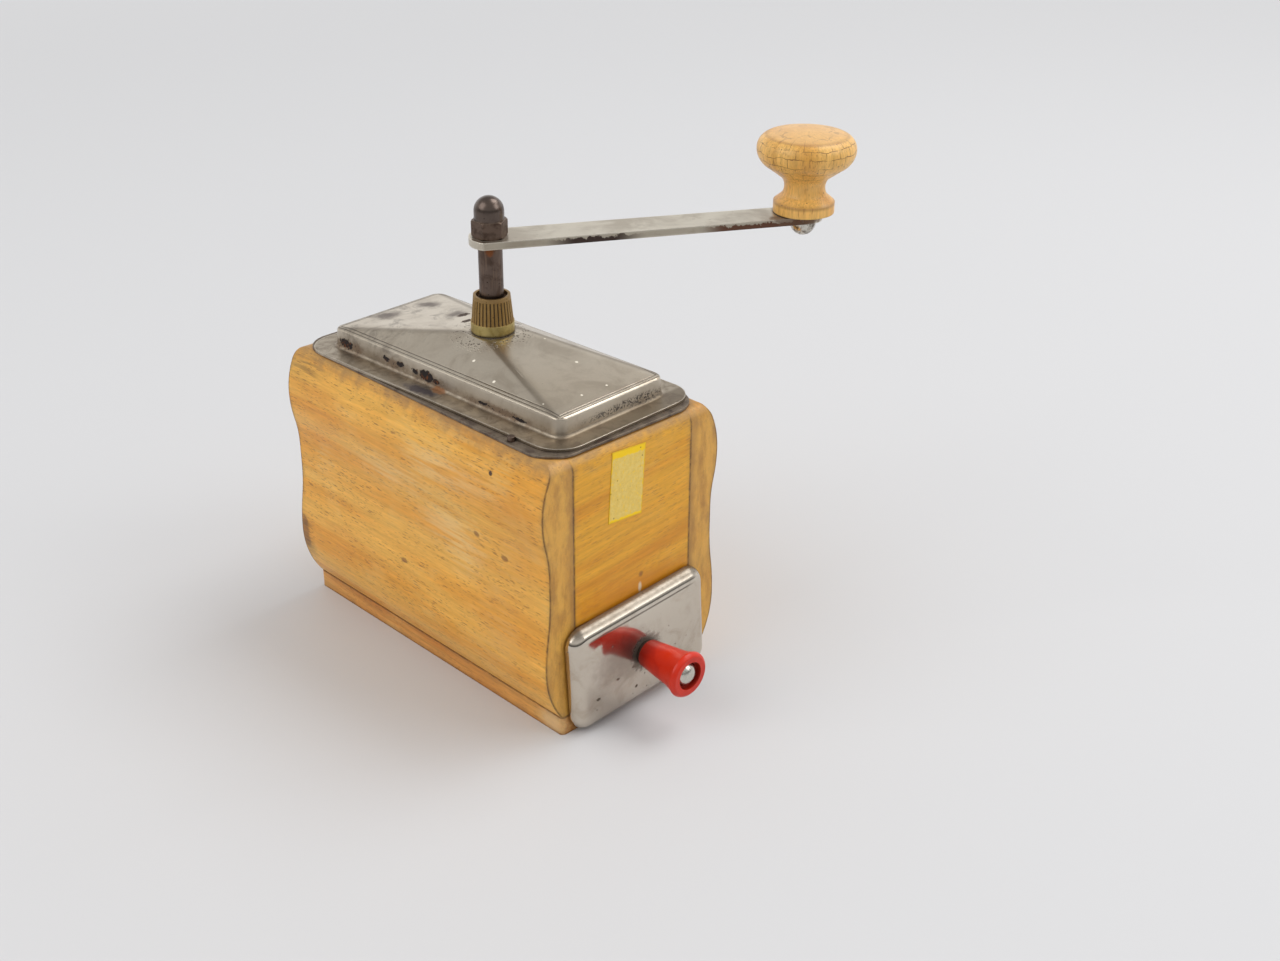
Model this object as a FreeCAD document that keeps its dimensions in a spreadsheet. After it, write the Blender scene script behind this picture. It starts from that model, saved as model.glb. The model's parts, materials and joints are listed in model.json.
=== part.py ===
import FreeCAD, Part
import math
import os
import re

import Sketcher

# Hand-cranked spice mill: a wooden box with a burr set, a hopper under a swing lid and a drawer.
# Millimetres. The origin lies on the shaft's axis at the underside of the base board. The drawer
# opens towards -Y, +X is to the right seen from the front, and +Z is up.

SIZES = {
    # Case
    "case_length": 129.0,
    "case_height": 94.0,
    "panel_width": 49.3,
    "panel_thickness": 7.0,
    "edge_round": 4.5,
    "base_width": 61.0,
    "base_thickness": 6.5,
    "base_corner": 1.6,
    # Outline of the two side boards: the width is over both boards, the rest is for each of them
    "foot_tuck": 6.2,
    "low_bulge_width": 73.0,
    "low_bulge_rise": 19.0,
    "waist_depth": 2.05,
    "waist_start": 50.0,
    "waist_end": 58.0,
    "high_bulge_reach": 0.4,
    "high_bulge_drop": 16.5,
    "top_tuck": 5.2,
    "crease_radius": 1.5,
    # Drawer opening and mill board
    "drawer_opening": 30.5,
    "bridge_room": 9.0,
    "mill_board_thickness": 7.0,
    "mill_board_hole": 35.0,
    # Hopper plate and its mouth
    "plate_sheet": 0.8,
    "plate_width": 64.0,
    "plate_length": 125.0,
    "plate_corner": 10.5,
    "mouth_width": 33.0,
    "mouth_length": 100.0,
    "mouth_corner": 8.0,
    # Funnel
    "funnel_sheet": 0.7,
    "throat_width": 31.0,
    "throat_corner": 12.0,
    # Lid
    "lid_gap": 0.1,
    "lid_sheet": 0.8,
    "lid_width": 61.4,
    "lid_length": 121.0,
    "lid_corner": 10.0,
    "lid_rest_turn": 2.8,
    "pan_width": 47.2,
    "pan_length": 107.4,
    "pan_corner": 4.0,
    "pan_height": 6.9,
    "pan_draft": 0.65,
    "pan_edge_round": 0.9,
    "pan_foot_round": 1.1,
    "roof_height": 7.0,
    "roof_seat": 16.0,
    "stop_pin_width": 2.4,
    "stop_pin_reach": 41.8,
    "stop_pin_show": 1.5,
    "stop_pin_depth": 5.0,
    # Neck bush, its nut and the upper bridge
    "bridge_length": 43.6,
    "bridge_width": 12.0,
    "bridge_corner": 5.9,
    "bridge_sheet": 2.0,
    "neck_width": 10.0,
    "neck_below_nut_top": 0.9,
    "collar_width": 14.0,
    "collar_height": 1.5,
    "bush_tail": 5.0,
    "bush_nut_flats": 13.0,
    "bush_nut_height": 3.0,
    "rivet_reach": 19.8,
    "rivet_width": 3.0,
    "rivet_head": 4.2,
    "rivet_dome": 1.2,
    "rivet_tail_width": 3.8,
    # Lid nut
    "nut_gap": 0.2,
    "nut_height": 12.2,
    "nut_ring_width": 13.9,
    "nut_ring_height": 3.4,
    "nut_rib_width": 13.4,
    "nut_top_width": 11.8,
    "nut_ribs": 32,
    "nut_rib_depth": 0.35,
    "nut_rib_gap": 0.62,
    "nut_rim_height": 1.3,
    # Shaft, arm and cap nut
    "shaft_width": 7.7,
    "running_gap": 0.05,
    "shaft_show": 16.6,
    "seat_square": 5.3,
    "thread_width": 5.2,
    "thread_reach": 5.5,
    "arm_reach": 103.2,
    "arm_turn": -29.3,
    "arm_width": 13.5,
    "arm_end_width": 12.4,
    "arm_thickness": 2.4,
    "arm_hub_reach": 6.6,
    "arm_hub_corner": 3.2,
    "cap_flats": 10.0,
    "cap_hex_height": 5.5,
    "cap_chamfer": 0.5,
    "cap_foot_chamfer": 0.8,
    "cap_dome_width": 9.5,
    "cap_dome_height": 7.4,
    # Crank knob and its pin
    "knob_gap": 0.3,
    "knob_foot_width": 19.9,
    "knob_foot_height": 3.5,
    "knob_shoulder_width": 14.6,
    "knob_shoulder_level": 5.7,
    "knob_neck_depth": 0.9,
    "knob_throat_width": 15.6,
    "knob_throat_level": 11.4,
    "knob_flank_width": 25.8,
    "knob_flank_level": 15.1,
    "knob_head_width": 32.0,
    "knob_head_level": 20.6,
    "knob_rim_width": 23.8,
    "knob_rim_level": 25.3,
    "knob_height": 26.6,
    "knob_pin_width": 6.0,
    "knob_pin_depth": 17.0,
    "knob_pin_head": 8.2,
    "knob_pin_dome": 5.3,
    # Burr set
    "burr_gap": 0.5,
    "burr_rise": 2.0,
    "burr_body_width": 34.0,
    "burr_body_rise": 1.0,
    "burr_flange_width": 40.0,
    "burr_flange_length": 56.0,
    "burr_flange_corner": 8.0,
    "burr_flange": 3.0,
    "burr_bore_mouth": 29.0,
    "burr_land_width": 26.0,
    "burr_land_height": 5.0,
    "burr_land_taper": 1.4,
    "burr_cone_width": 12.4,
    "burr_cone_height": 9.0,
    "burr_screw_reach": 23.0,
    "burr_flutes": 8,
    "burr_flute_width": 1.6,
    "burr_flute_depth": 1.5,
    "ring_flutes": 12,
    "burr_pin_width": 2.5,
    "burr_pin_level": 10.0,
    # Lower bridge and the adjusting screw
    "lower_bridge_sheet": 2.5,
    "lower_bridge_width": 14.0,
    "lower_bridge_end_gap": 1.0,
    "lower_bridge_corner": 1.5,
    "lower_bridge_screw_reach": 20.6,
    "adjuster_width": 6.0,
    "adjuster_head_width": 12.0,
    "adjuster_head_height": 3.2,
    "adjuster_gap": 0.6,
    "lock_nut_gap": 0.2,
    "lock_nut_flats": 10.0,
    "lock_nut_height": 3.0,
    "pad_height": 1.5,
    # Drawer
    "drawer_side_gap": 0.5,
    "drawer_floor_gap": 0.4,
    "drawer_headroom": 3.0,
    "drawer_back_gap": 2.0,
    "drawer_front_thickness": 7.7,
    "drawer_wall": 4.0,
    "drawer_floor": 2.6,
    # Drawer's metal front
    "front_sheet": 0.9,
    "front_reach": 4.4,
    "front_rim_gap": 0.8,
    "front_lap_side": 4.15,
    "front_lap_top": 2.0,
    "front_lap_bottom": 4.4,
    "front_corner": 5.5,
    "front_roll": 2.6,
    "front_tilt": 3.5,
    "front_crown": 1.6,
    "front_crown_inset": 6.0,
    "front_crown_run": 8.0,
    "front_crown_corner": 3.0,
    # Drawer knob and the washer under it
    "pull_washer_width": 8.2,
    "pull_washer": 1.4,
    "pull_length": 18.1,
    "pull_foot_width": 9.2,
    "pull_middle_width": 11.8,
    "pull_middle_level": 10.0,
    "pull_flare_curve": 20.0,
    "pull_rim_width": 15.2,
    "pull_rim_height": 1.6,
    "pull_rim_flat": 13.0,
    "pull_recess_width": 9.4,
    "pull_recess_depth": 2.0,
    # Screws
    "screw_gap": 0.1,
    "screw_slot": 0.8,
    "screw_width": 3.0,
    "screw_head": 5.2,
    "base_screw_length": 24.0,
    "base_screw_across": 55.0,
    "base_screw_inset": 18.5,
    "plate_screw_length": 14.0,
    "plate_screw_across": 54.0,
    "plate_screw_inset": 44.5,
    "round_head": 5.4,
    "round_head_dome": 1.8,
    "inner_screw_length": 8.0,
    "pull_screw_width": 3.6,
    "pull_screw_head": 8.2,
    "pull_screw_dome": 2.4,
    # Paper label
    "label_width": 13.9,
    "label_height": 23.5,
    "label_sheet": 0.15,
    "label_shift": -2.9,
    "label_drop": 15.0,
    "label_tilt": 4.0,
}

doc = FreeCAD.newDocument("SpiceMill")
sheet = doc.addObject("Spreadsheet::Sheet", "Sizes")
for row, (size_name, size_value) in enumerate(SIZES.items(), start=1):
    sheet.set(f"A{row}", size_name)
    sheet.set(f"B{row}", str(size_value))
    sheet.setAlias(f"B{row}", size_name)
doc.recompute()

# Levels that several pieces share, as formulas of the sizes
half_length = "(case_length / 2)"
half_panel = "(panel_width / 2)"
low_reach = "(low_bulge_width / 2)"
waist_reach = f"({low_reach} - waist_depth)"
high_reach = f"({low_reach} + high_bulge_reach)"
top_reach = f"({high_reach} - top_tuck)"
low_bulge = "(base_thickness + low_bulge_rise)"
high_bulge = "(case_height - high_bulge_drop)"
inner_end = f"({half_length} - panel_thickness)"
opening_top = "(base_thickness + drawer_opening)"
board_bottom = f"({opening_top} + bridge_room)"
board_top = f"({board_bottom} + mill_board_thickness)"
flange_top = f"({board_top} + burr_flange)"
plate_top = "(case_height + plate_sheet)"
lid_bottom = f"({plate_top} + lid_gap)"
pan_top = f"({lid_bottom} + pan_height)"
roof_top = f"({pan_top} + roof_height)"
nut_bottom = f"({roof_top} + nut_gap)"
nut_top = f"({nut_bottom} + nut_height)"
arm_bottom = f"({nut_top} + shaft_show)"
arm_top = f"({arm_bottom} + arm_thickness)"
shaft_foot = f"({board_bottom} + pad_height)"
burr_bottom = f"({board_bottom} + burr_rise)"
bridge_top = f"({plate_top} + bridge_sheet)"
lower_bridge_bottom = f"({board_bottom} - lower_bridge_sheet)"
knob_x = "(arm_reach * cos(arm_turn))"
knob_y = "(arm_reach * sin(arm_turn))"
front_face = f"({half_length} + front_reach)"
front_back = f"({front_face} - front_sheet)"
pull_seat = f"({front_face} + front_crown)"
pull_foot = f"({pull_seat} + pull_washer)"
front_board_end = f"({front_back} - drawer_front_thickness)"
drawer_half = f"({half_panel} - drawer_side_gap)"
drawer_bottom = "(base_thickness + drawer_floor_gap)"
drawer_height = "(drawer_opening - drawer_floor_gap - drawer_headroom)"
drawer_end = f"({inner_end} - drawer_back_gap)"
front_middle = "(base_thickness + (drawer_opening + front_lap_top - front_lap_bottom) / 2)"
label_level = "(case_height - label_drop)"
screw_hole = "(screw_width + 2 * screw_gap)"
base_screw_y = f"({half_length} - base_screw_inset)"
plate_screw_y = f"({half_length} - plate_screw_inset)"
finished = []


# Formulas and outlines

def linked(formula):
    """The formula with the sheet's name in front of every size."""
    def with_sheet(found):
        word = found.group()
        return f"Sizes.{word}" if word in SIZES else word
    return re.sub(r"[a-z][a-z_0-9]*", with_sheet, formula)


def number(formula):
    """What the formula comes to with the sizes as they are."""
    return float(sheet.evalExpression(linked(formula)))


def bend(across, along):
    """Radius of an arc that leaves one end square to 'across' and reaches 'across' by 'along'."""
    return f"((({across})^2 + ({along})^2) / (2 * ({across})))"


def arc_between(start, end, radius, turn):
    """Arc of under half a circle, anticlockwise from start to end where turn is 1."""
    middle = (start + end) * 0.5
    chord = end - start
    side = FreeCAD.Vector(-chord.y, chord.x, 0).normalize() * turn
    rise = math.sqrt(max(radius ** 2 - (chord.Length / 2) ** 2, 0.0))
    centre = middle + side * rise
    circle = Part.Circle(centre, FreeCAD.Vector(0, 0, 1), radius)
    angles = [math.atan2(spot.y - centre.y, spot.x - centre.x) for spot in (start, end)]
    return Part.ArcOfCircle(circle, *angles[::turn])


def bound_constraint(sketch, constraint, formula):
    """Add a constraint whose value follows the formula."""
    index = sketch.addConstraint(constraint)
    sketch.setExpression(f"Constraints[{index}]", linked(formula))


def new_sketch(body, plane, offset):
    """Empty sketch on one of the body's own planes, moved along the plane's normal."""
    sketch = body.newObject("Sketcher::SketchObject", body.Name + "Sketch")
    roles = {item.Role: item for item in body.Origin.OriginFeatures}
    sketch.AttachmentSupport = [(roles[plane + "_Plane"], "")]
    sketch.MapMode = "FlatFace"
    sketch.setExpression("AttachmentOffset.Base.z", linked(offset))
    return sketch


def add_outline(sketch, points, arcs=None):
    """Closed outline through pairs of formulas; arcs maps a side to its radius and turn."""
    arcs = arcs or {}
    spots = [FreeCAD.Vector(number(x), number(y), 0) for x, y in points]
    first = sketch.GeometryCount
    heads = []
    for side, start in enumerate(spots):
        end = spots[(side + 1) % len(spots)]
        if side in arcs:
            radius, turn = arcs[side]
            sketch.addGeometry(arc_between(start, end, number(radius), turn), False)
            heads.append(1 if turn > 0 else 2)
        else:
            sketch.addGeometry(Part.LineSegment(start, end), False)
            heads.append(1)
    for side, (x, y) in enumerate(points):
        here = first + side
        before = first + (side - 1) % len(points)
        tail = 3 - heads[side - 1]
        sketch.addConstraint(Sketcher.Constraint("Coincident", before, tail, here, heads[side]))
        across = Sketcher.Constraint("DistanceX", -1, 1, here, heads[side], spots[side].x)
        upward = Sketcher.Constraint("DistanceY", -1, 1, here, heads[side], spots[side].y)
        bound_constraint(sketch, across, x)
        bound_constraint(sketch, upward, y)
    for side, (radius, _) in arcs.items():
        bound_constraint(sketch, Sketcher.Constraint("Radius", first + side, number(radius)), radius)
    return sketch


def add_circles(sketch, circles):
    """Circles given as formulas of centre x, centre y and diameter."""
    for x, y, width in circles:
        centre = FreeCAD.Vector(number(x), number(y), 0)
        radius = number(width) / 2
        index = sketch.addGeometry(Part.Circle(centre, FreeCAD.Vector(0, 0, 1), radius), False)
        bound_constraint(sketch, Sketcher.Constraint("DistanceX", -1, 1, index, 3, centre.x), x)
        bound_constraint(sketch, Sketcher.Constraint("DistanceY", -1, 1, index, 3, centre.y), y)
        bound_constraint(sketch, Sketcher.Constraint("Radius", index, radius), f"({width}) / 2")
    return sketch


def rounded(width, length, radius):
    """Points and arcs of a rectangle about the centre with round corners."""
    x, y = f"({width}) / 2", f"({length}) / 2"
    points = []
    for sign_x, sign_y in ((1, -1), (1, 1), (-1, 1), (-1, -1)):
        on_side = (f"{sign_x} * ({x})", f"{sign_y} * ({y} - ({radius}))")
        on_end = (f"{sign_x} * ({x} - ({radius}))", f"{sign_y} * ({y})")
        points += [on_end, on_side] if sign_x * sign_y < 0 else [on_side, on_end]
    return points, {side: (radius, 1) for side in (0, 2, 4, 6)}


def rectangle(left, right, bottom, top):
    """Four corner points."""
    return [(left, bottom), (right, bottom), (right, top), (left, top)]


def polygon(sides, flats, turn="0"):
    """Corner points of a regular polygon with a flat square to X, then turned."""
    half_step = 180 / sides
    reach = f"({flats}) / 2 / cos({half_step})"
    angles = [f"({half_step + 2 * half_step * side} + {turn})" for side in range(sides)]
    return [(f"{reach} * cos{angle}", f"{reach} * sin{angle}") for angle in angles]


# Features

def new_body(name, place=("0", "0", "0"), turn_axis=(0, 0, 1), turn="0"):
    """Body for one piece, placed by formulas."""
    body = doc.addObject("PartDesign::Body", name)
    rotation = FreeCAD.Rotation(FreeCAD.Vector(*turn_axis), number(turn))
    body.Placement = FreeCAD.Placement(FreeCAD.Vector(), rotation)
    for letter, formula in zip("xyz", place):
        body.setExpression(f"Placement.Base.{letter}", linked(formula))
    body.setExpression("Placement.Rotation.Angle", linked(turn))
    return body


def add_feature(body, kind, sketch, length, symmetric=False, reverse=False):
    """Pad or pocket of a sketch."""
    feature = body.newObject(f"PartDesign::{kind}", body.Name + kind)
    feature.Profile = sketch
    feature.SideType = "Symmetric" if symmetric else "One side"
    feature.Reversed = reverse
    feature.setExpression("Length", linked(length))
    return feature


def pad(body, points, arcs, bottom, height, plane="XY", symmetric=False):
    """Pad of an outline."""
    sketch = add_outline(new_sketch(body, plane, bottom), points, arcs)
    return add_feature(body, "Pad", sketch, height, symmetric)


def drill(body, circles, start, depth, plane="XY", upward=False):
    """Round holes from one level, against the plane's normal unless upward."""
    sketch = add_circles(new_sketch(body, plane, start), circles)
    return add_feature(body, "Pocket", sketch, depth, reverse=upward)


def revolve(body, points, arcs=None, kind="Revolution"):
    """Full turn of an outline in radius and height about the body's Z axis; a Groove cuts."""
    sketch = add_outline(new_sketch(body, "XZ", "0"), points, arcs)
    feature = body.newObject(f"PartDesign::{kind}", body.Name + kind)
    feature.Profile = sketch
    feature.ReferenceAxis = (sketch, ["V_Axis"])
    feature.Angle = 360
    return feature


def loft(body, lower, upper, kind, plane="XY"):
    """Loft between two outlines; each is points, arcs and level."""
    sketches = []
    for points, arcs, level in (lower, upper):
        sketches.append(add_outline(new_sketch(body, plane, level), points, arcs))
    feature = body.newObject(f"PartDesign::{kind}", body.Name + kind)
    feature.Profile = sketches[0]
    feature.Sections = [sketches[1]]
    feature.Ruled = True
    return feature


def around(body, feature, count):
    """Copies of a feature about the body's Z axis."""
    doc.recompute()
    pattern = body.newObject("PartDesign::PolarPattern", body.Name + "Pattern")
    pattern.Originals = [feature]
    axes = {item.Role: item for item in body.Origin.OriginFeatures}
    pattern.Axis = (axes["Z_Axis"], [""])
    pattern.Angle = 360
    pattern.setExpression("Occurrences", linked(count))
    body.Tip = pattern
    return pattern


def edges_where(shape, test):
    """Names of the edges whose every sampled point passes the test."""
    names = []
    for index, edge in enumerate(shape.Edges, start=1):
        if all(test(spot) for spot in edge.discretize(5)):
            names.append(f"Edge{index}")
    return names


def fillet(body, test, radius):
    """Round the edges that pass the test."""
    doc.recompute()
    base = body.Tip
    feature = body.newObject("PartDesign::Fillet", body.Name + "Fillet")
    feature.Base = (base, edges_where(base.Shape, test))
    feature.setExpression("Radius", linked(radius))
    return feature


def near(value, formula):
    """Whether a coordinate lies at the formula's value."""
    return abs(value - number(formula)) < 1e-4


def sunk_holes(body, spots, start, width, sink, depth, upward=False):
    """Holes with a 90 degree countersink at the start level."""
    sketch = add_circles(new_sketch(body, "XY", start), [(x, y, width) for x, y in spots])
    doc.recompute()
    hole = body.newObject("PartDesign::Hole", body.Name + "Hole")
    hole.Profile = sketch
    doc.recompute()
    hole.ThreadType = "None"
    hole.HoleCutType = "Countersink"
    hole.HoleCutCountersinkAngle = 90
    hole.DepthType = "Dimension"
    hole.DrillPoint = "Flat"
    hole.Reversed = upward
    hole.setExpression("Diameter", linked(width))
    hole.setExpression("HoleCutDiameter", linked(sink))
    hole.setExpression("Depth", linked(depth))
    return hole


def finish(body):
    """Keep the piece under its own name."""
    body.Label = body.Name
    finished.append(body)


# Screws and rivets, with the underside of a round head or the top of a sunk head at their place

def cut_slot(body, head, top, depth):
    """Screwdriver slot across a head."""
    slot = rectangle(f"-{head}", head, "-screw_slot / 2", "screw_slot / 2")
    sketch = add_outline(new_sketch(body, "XY", top), slot)
    add_feature(body, "Pocket", sketch, depth)


def sunk_screw(name, place, length, flip="0"):
    """Countersunk wood screw that points down, or up where it is flipped by 180."""
    body = new_body(name, place, (1, 0, 0), flip)
    neck = "-(screw_head - screw_width) / 2"
    points = [("0", "0"), ("screw_head / 2", "0"), ("screw_width / 2", neck)]
    points += [("screw_width / 2", f"-({length} - screw_width)"), ("0", f"-{length}")]
    revolve(body, points)
    cut_slot(body, "screw_head", "0", "screw_slot")
    finish(body)


def round_screw(name, place, head, dome, width, length, flip="0", slotted=True):
    """Round-head screw or rivet that points down, or to another side where it is flipped about X."""
    body = new_body(name, place, (1, 0, 0), flip)
    points = [("0", dome), (f"{head} / 2", "0"), (f"{width} / 2", "0"), (f"{width} / 2", f"-({length})")]
    points += [("0", f"-({length})")]
    revolve(body, points, {0: (bend(dome, f"{head} / 2"), -1)})
    if slotted:
        cut_slot(body, head, dome, "screw_slot")
    finish(body)


# Case

def round_top_edges(body, ends):
    """Round the top edges across the front and the rear, straight across the width."""
    for end in ends:
        tangent = f"{end} * ({half_length} - edge_round)"
        corner = f"{end} * ({half_length})"
        points = [(corner, "case_height"), (tangent, "case_height"), (corner, "case_height - edge_round")]
        sketch = add_outline(new_sketch(body, "YZ", "0"), points, {1: ("edge_round", -end)})
        add_feature(body, "Pocket", sketch, f"4 * {high_reach}", symmetric=True)


def side_board(name, side):
    """Bowed side board, flat inside; side is 1 for the right one."""
    body = new_body(name)
    low_step = "(waist_depth / 2)"
    high_step = "((waist_depth + high_bulge_reach) / 2)"
    reaches = (half_panel, f"({low_reach} - foot_tuck)", low_reach, f"({low_reach} - {low_step})")
    reaches += (waist_reach, waist_reach, f"({high_reach} - {high_step})", high_reach, top_reach, half_panel)
    levels = ("base_thickness", "base_thickness", low_bulge, f"({low_bulge} + waist_start) / 2")
    levels += ("waist_start", "waist_end", f"(waist_end + {high_bulge}) / 2")
    levels += (high_bulge, "case_height", "case_height")
    points = [(f"{side} * {reach}", level) for reach, level in zip(reaches, levels)]
    low_bend = bend(low_step, f"(waist_start - {low_bulge}) / 2")
    high_bend = bend(high_step, f"({high_bulge} - waist_end) / 2")
    arcs = {
        1: (bend("foot_tuck", "low_bulge_rise"), side),
        2: (low_bend, side),
        3: (low_bend, -side),
        5: (high_bend, -side),
        6: (high_bend, side),
        7: (bend("top_tuck", "high_bulge_drop"), side),
    }
    pad(body, points, arcs, "0", "case_length", "XZ", symmetric=True)
    crease = f"{side} * {top_reach}"
    fillet(body, lambda spot: near(spot.x, crease) and near(spot.z, "case_height"), "crease_radius")
    round_top_edges(body, (-1, 1))
    holes = [(f"{side} * base_screw_across / 2", f"{end} * {base_screw_y}", screw_hole)
             for end in (-1, 1)]
    drill(body, holes, "base_thickness", "base_screw_length - base_thickness + screw_gap", upward=True)
    spots = [(f"{side} * plate_screw_across / 2", f"{end} * {plate_screw_y}") for end in (-1, 1)]
    sink = "screw_head - 2 * plate_sheet + 4 * screw_gap"
    sunk_holes(body, spots, "case_height", screw_hole, sink, "plate_screw_length - plate_sheet + screw_gap")
    if side < 0:
        drill(body, [(*stop_pin_spot(), "stop_pin_width + 2 * screw_gap")], "case_height",
              "stop_pin_depth + screw_gap")
    finish(body)


def end_panel(name, end, bottom):
    """Flat panel between the side boards; end is -1 for the front."""
    body = new_body(name)
    points = rectangle(f"-{half_panel}", half_panel, bottom, "case_height")
    outer = f"{-end} * ({half_length})"
    inner = f"{-end} * ({inner_end})"
    pad(body, points, None, inner if end < 0 else outer, "panel_thickness", "XZ")
    round_top_edges(body, (end,))
    finish(body)


def base_board():
    """Board under the case."""
    body = new_body("base_board")
    points, arcs = rounded("base_width", "case_length", "base_corner")
    pad(body, points, arcs, "0", "base_thickness")
    spots = [(f"{side} * base_screw_across / 2", f"{end} * {base_screw_y}")
             for side in (-1, 1) for end in (-1, 1)]
    sunk_holes(body, spots, "0", screw_hole, "screw_head + 4 * screw_gap",
               "base_thickness + screw_gap", upward=True)
    finish(body)


def mill_board():
    """Shelf between the boards that carries the burr set."""
    body = new_body("mill_board")
    points = rectangle(f"-{half_panel}", half_panel, f"-{inner_end}", inner_end)
    pad(body, points, None, board_bottom, "mill_board_thickness")
    drill(body, [("0", "0", "mill_board_hole")], board_top, "mill_board_thickness + screw_gap")
    drill(body, [("0", f"{end} * burr_screw_reach", screw_hole) for end in (-1, 1)], board_top,
          "inner_screw_length - burr_flange + screw_gap")
    drill(body, [(f"{side} * lower_bridge_screw_reach", "0", screw_hole) for side in (-1, 1)], board_bottom,
          "inner_screw_length - lower_bridge_sheet + screw_gap", upward=True)
    finish(body)


def label():
    """Bare paper label on the front panel."""
    body = new_body("label", ("label_shift", f"-{half_length}", label_level), (0, 1, 0), "label_tilt")
    points = rectangle("-label_width / 2", "label_width / 2", "-label_height / 2", "label_height / 2")
    pad(body, points, None, "0", "label_sheet", "XZ")
    finish(body)


# Top

def stop_pin_spot():
    """Where the pin stands so that the turned lid's left edge rests against it."""
    reach = "(lid_width / 2 + lid_gap + stop_pin_width / 2)"
    x = f"-{reach} * cos(lid_rest_turn) + stop_pin_reach * sin(lid_rest_turn)"
    y = f"-{reach} * sin(lid_rest_turn) - stop_pin_reach * cos(lid_rest_turn)"
    return x, y


def hopper_plate():
    """Sheet over the case's top with the hopper's mouth."""
    body = new_body("hopper_plate")
    pad(body, *rounded("plate_width", "plate_length", "plate_corner"), "case_height", "plate_sheet")
    points, arcs = rounded("mouth_width", "mouth_length", "mouth_corner")
    mouth = add_outline(new_sketch(body, "XY", plate_top), points, arcs)
    add_feature(body, "Pocket", mouth, "plate_sheet + screw_gap")
    holes = [(f"{side} * rivet_reach", "0", "rivet_width + 2 * screw_gap") for side in (-1, 1)]
    holes.append((*stop_pin_spot(), "stop_pin_width + 2 * screw_gap"))
    drill(body, holes, plate_top, "plate_sheet + screw_gap")
    spots = [(f"{side} * plate_screw_across / 2", f"{end} * {plate_screw_y}")
             for side in (-1, 1) for end in (-1, 1)]
    sunk_holes(body, spots, plate_top, screw_hole, "screw_head + 4 * screw_gap",
               "plate_sheet + screw_head")
    finish(body)


def lid_stop_pin():
    """Pin that the lid's edge rests against."""
    x, y = stop_pin_spot()
    body = new_body("lid_stop_pin", (x, y, "case_height"))
    radius, top = "stop_pin_width / 2", "plate_sheet + stop_pin_show"
    points = rectangle("0", radius, "-stop_pin_depth", top)
    revolve(body, points)
    finish(body)


def hopper_funnel():
    """Tapered sheet funnel from the mouth to the burrs."""
    body = new_body("hopper_funnel")
    skin = "2 * funnel_sheet"
    below = rounded(f"throat_width + {skin}", f"throat_width + {skin}", "throat_corner + funnel_sheet")
    above = rounded(f"mouth_width + {skin}", f"mouth_length + {skin}", "mouth_corner + funnel_sheet")
    loft(body, (*below, flange_top), (*above, "case_height"), "AdditiveLoft")
    below = rounded("throat_width", "throat_width", "throat_corner")
    above = rounded("mouth_width", "mouth_length", "mouth_corner")
    loft(body, (*below, flange_top), (*above, "case_height"), "SubtractiveLoft")
    finish(body)


def pan_outline(inset, rise, level):
    """The lid's step, drawn in by its draft on the way up."""
    narrower = f"(2 * ({inset}) + 2 * pan_draft * ({rise}))"
    corner = f"pan_corner - pan_draft * ({rise})"
    return (*rounded(f"pan_width - {narrower}", f"pan_length - {narrower}", corner), level)


def seat_outline(inset, level):
    """Where the lid's roof ends, under the lid nut."""
    width = f"roof_seat - 2 * ({inset})"
    return (*rounded(width, width, "pan_corner - pan_draft"), level)


def lid():
    """Pressed lid: flange, step and hipped roof with the neck's hole."""
    body = new_body("lid", turn="lid_rest_turn")
    pad(body, *rounded("lid_width", "lid_length", "lid_corner"), lid_bottom, "lid_sheet")
    loft(body, pan_outline("0", "0", lid_bottom), pan_outline("0", "1", pan_top), "AdditiveLoft")
    loft(body, pan_outline("0", "1", pan_top), seat_outline("0", roof_top), "AdditiveLoft")
    fillet(body, lambda spot: near(spot.z, pan_top), "pan_edge_round")
    foot = f"{lid_bottom} + lid_sheet"
    fillet(body, lambda spot: near(spot.z, foot) and abs(spot.y) < number("pan_length / 2")
           and abs(spot.x) < number("pan_width / 2"), "pan_foot_round")
    under_pan, under_roof = f"({pan_top} - lid_sheet)", f"({roof_top} - lid_sheet)"
    inner_pan = pan_outline("lid_sheet", "1", under_pan)
    loft(body, pan_outline("lid_sheet", "0", lid_bottom), inner_pan, "SubtractiveLoft")
    loft(body, inner_pan, seat_outline("lid_sheet", under_roof), "SubtractiveLoft")
    drill(body, [("0", "0", "neck_width + 2 * running_gap")], roof_top, "roof_height")
    finish(body)


def upper_bridge():
    """Strap across the mouth that carries the neck bush."""
    body = new_body("upper_bridge")
    pad(body, *rounded("bridge_length", "bridge_width", "bridge_corner"), plate_top, "bridge_sheet")
    holes = [("0", "0", "neck_width + 2 * screw_gap")]
    holes += [(f"{side} * rivet_reach", "0", "rivet_width + 2 * screw_gap") for side in (-1, 1)]
    drill(body, holes, bridge_top, "bridge_sheet + screw_gap")
    finish(body)


def bridge_rivet(name, side):
    """Rivet through the bridge and the plate."""
    body = new_body(name, (f"{side} * rivet_reach", "0", bridge_top))
    grip = "(bridge_sheet + plate_sheet)"
    points = [("0", "rivet_dome"), ("rivet_head / 2", "0"), ("rivet_width / 2", "0")]
    points += [("rivet_width / 2", f"-{grip}"), ("rivet_tail_width / 2", f"-{grip}")]
    points += [("rivet_tail_width / 2", f"-{grip} - rivet_dome"), ("0", f"-{grip} - rivet_dome")]
    revolve(body, points, {0: (bend("rivet_dome", "rivet_head / 2"), -1)})
    finish(body)


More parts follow.
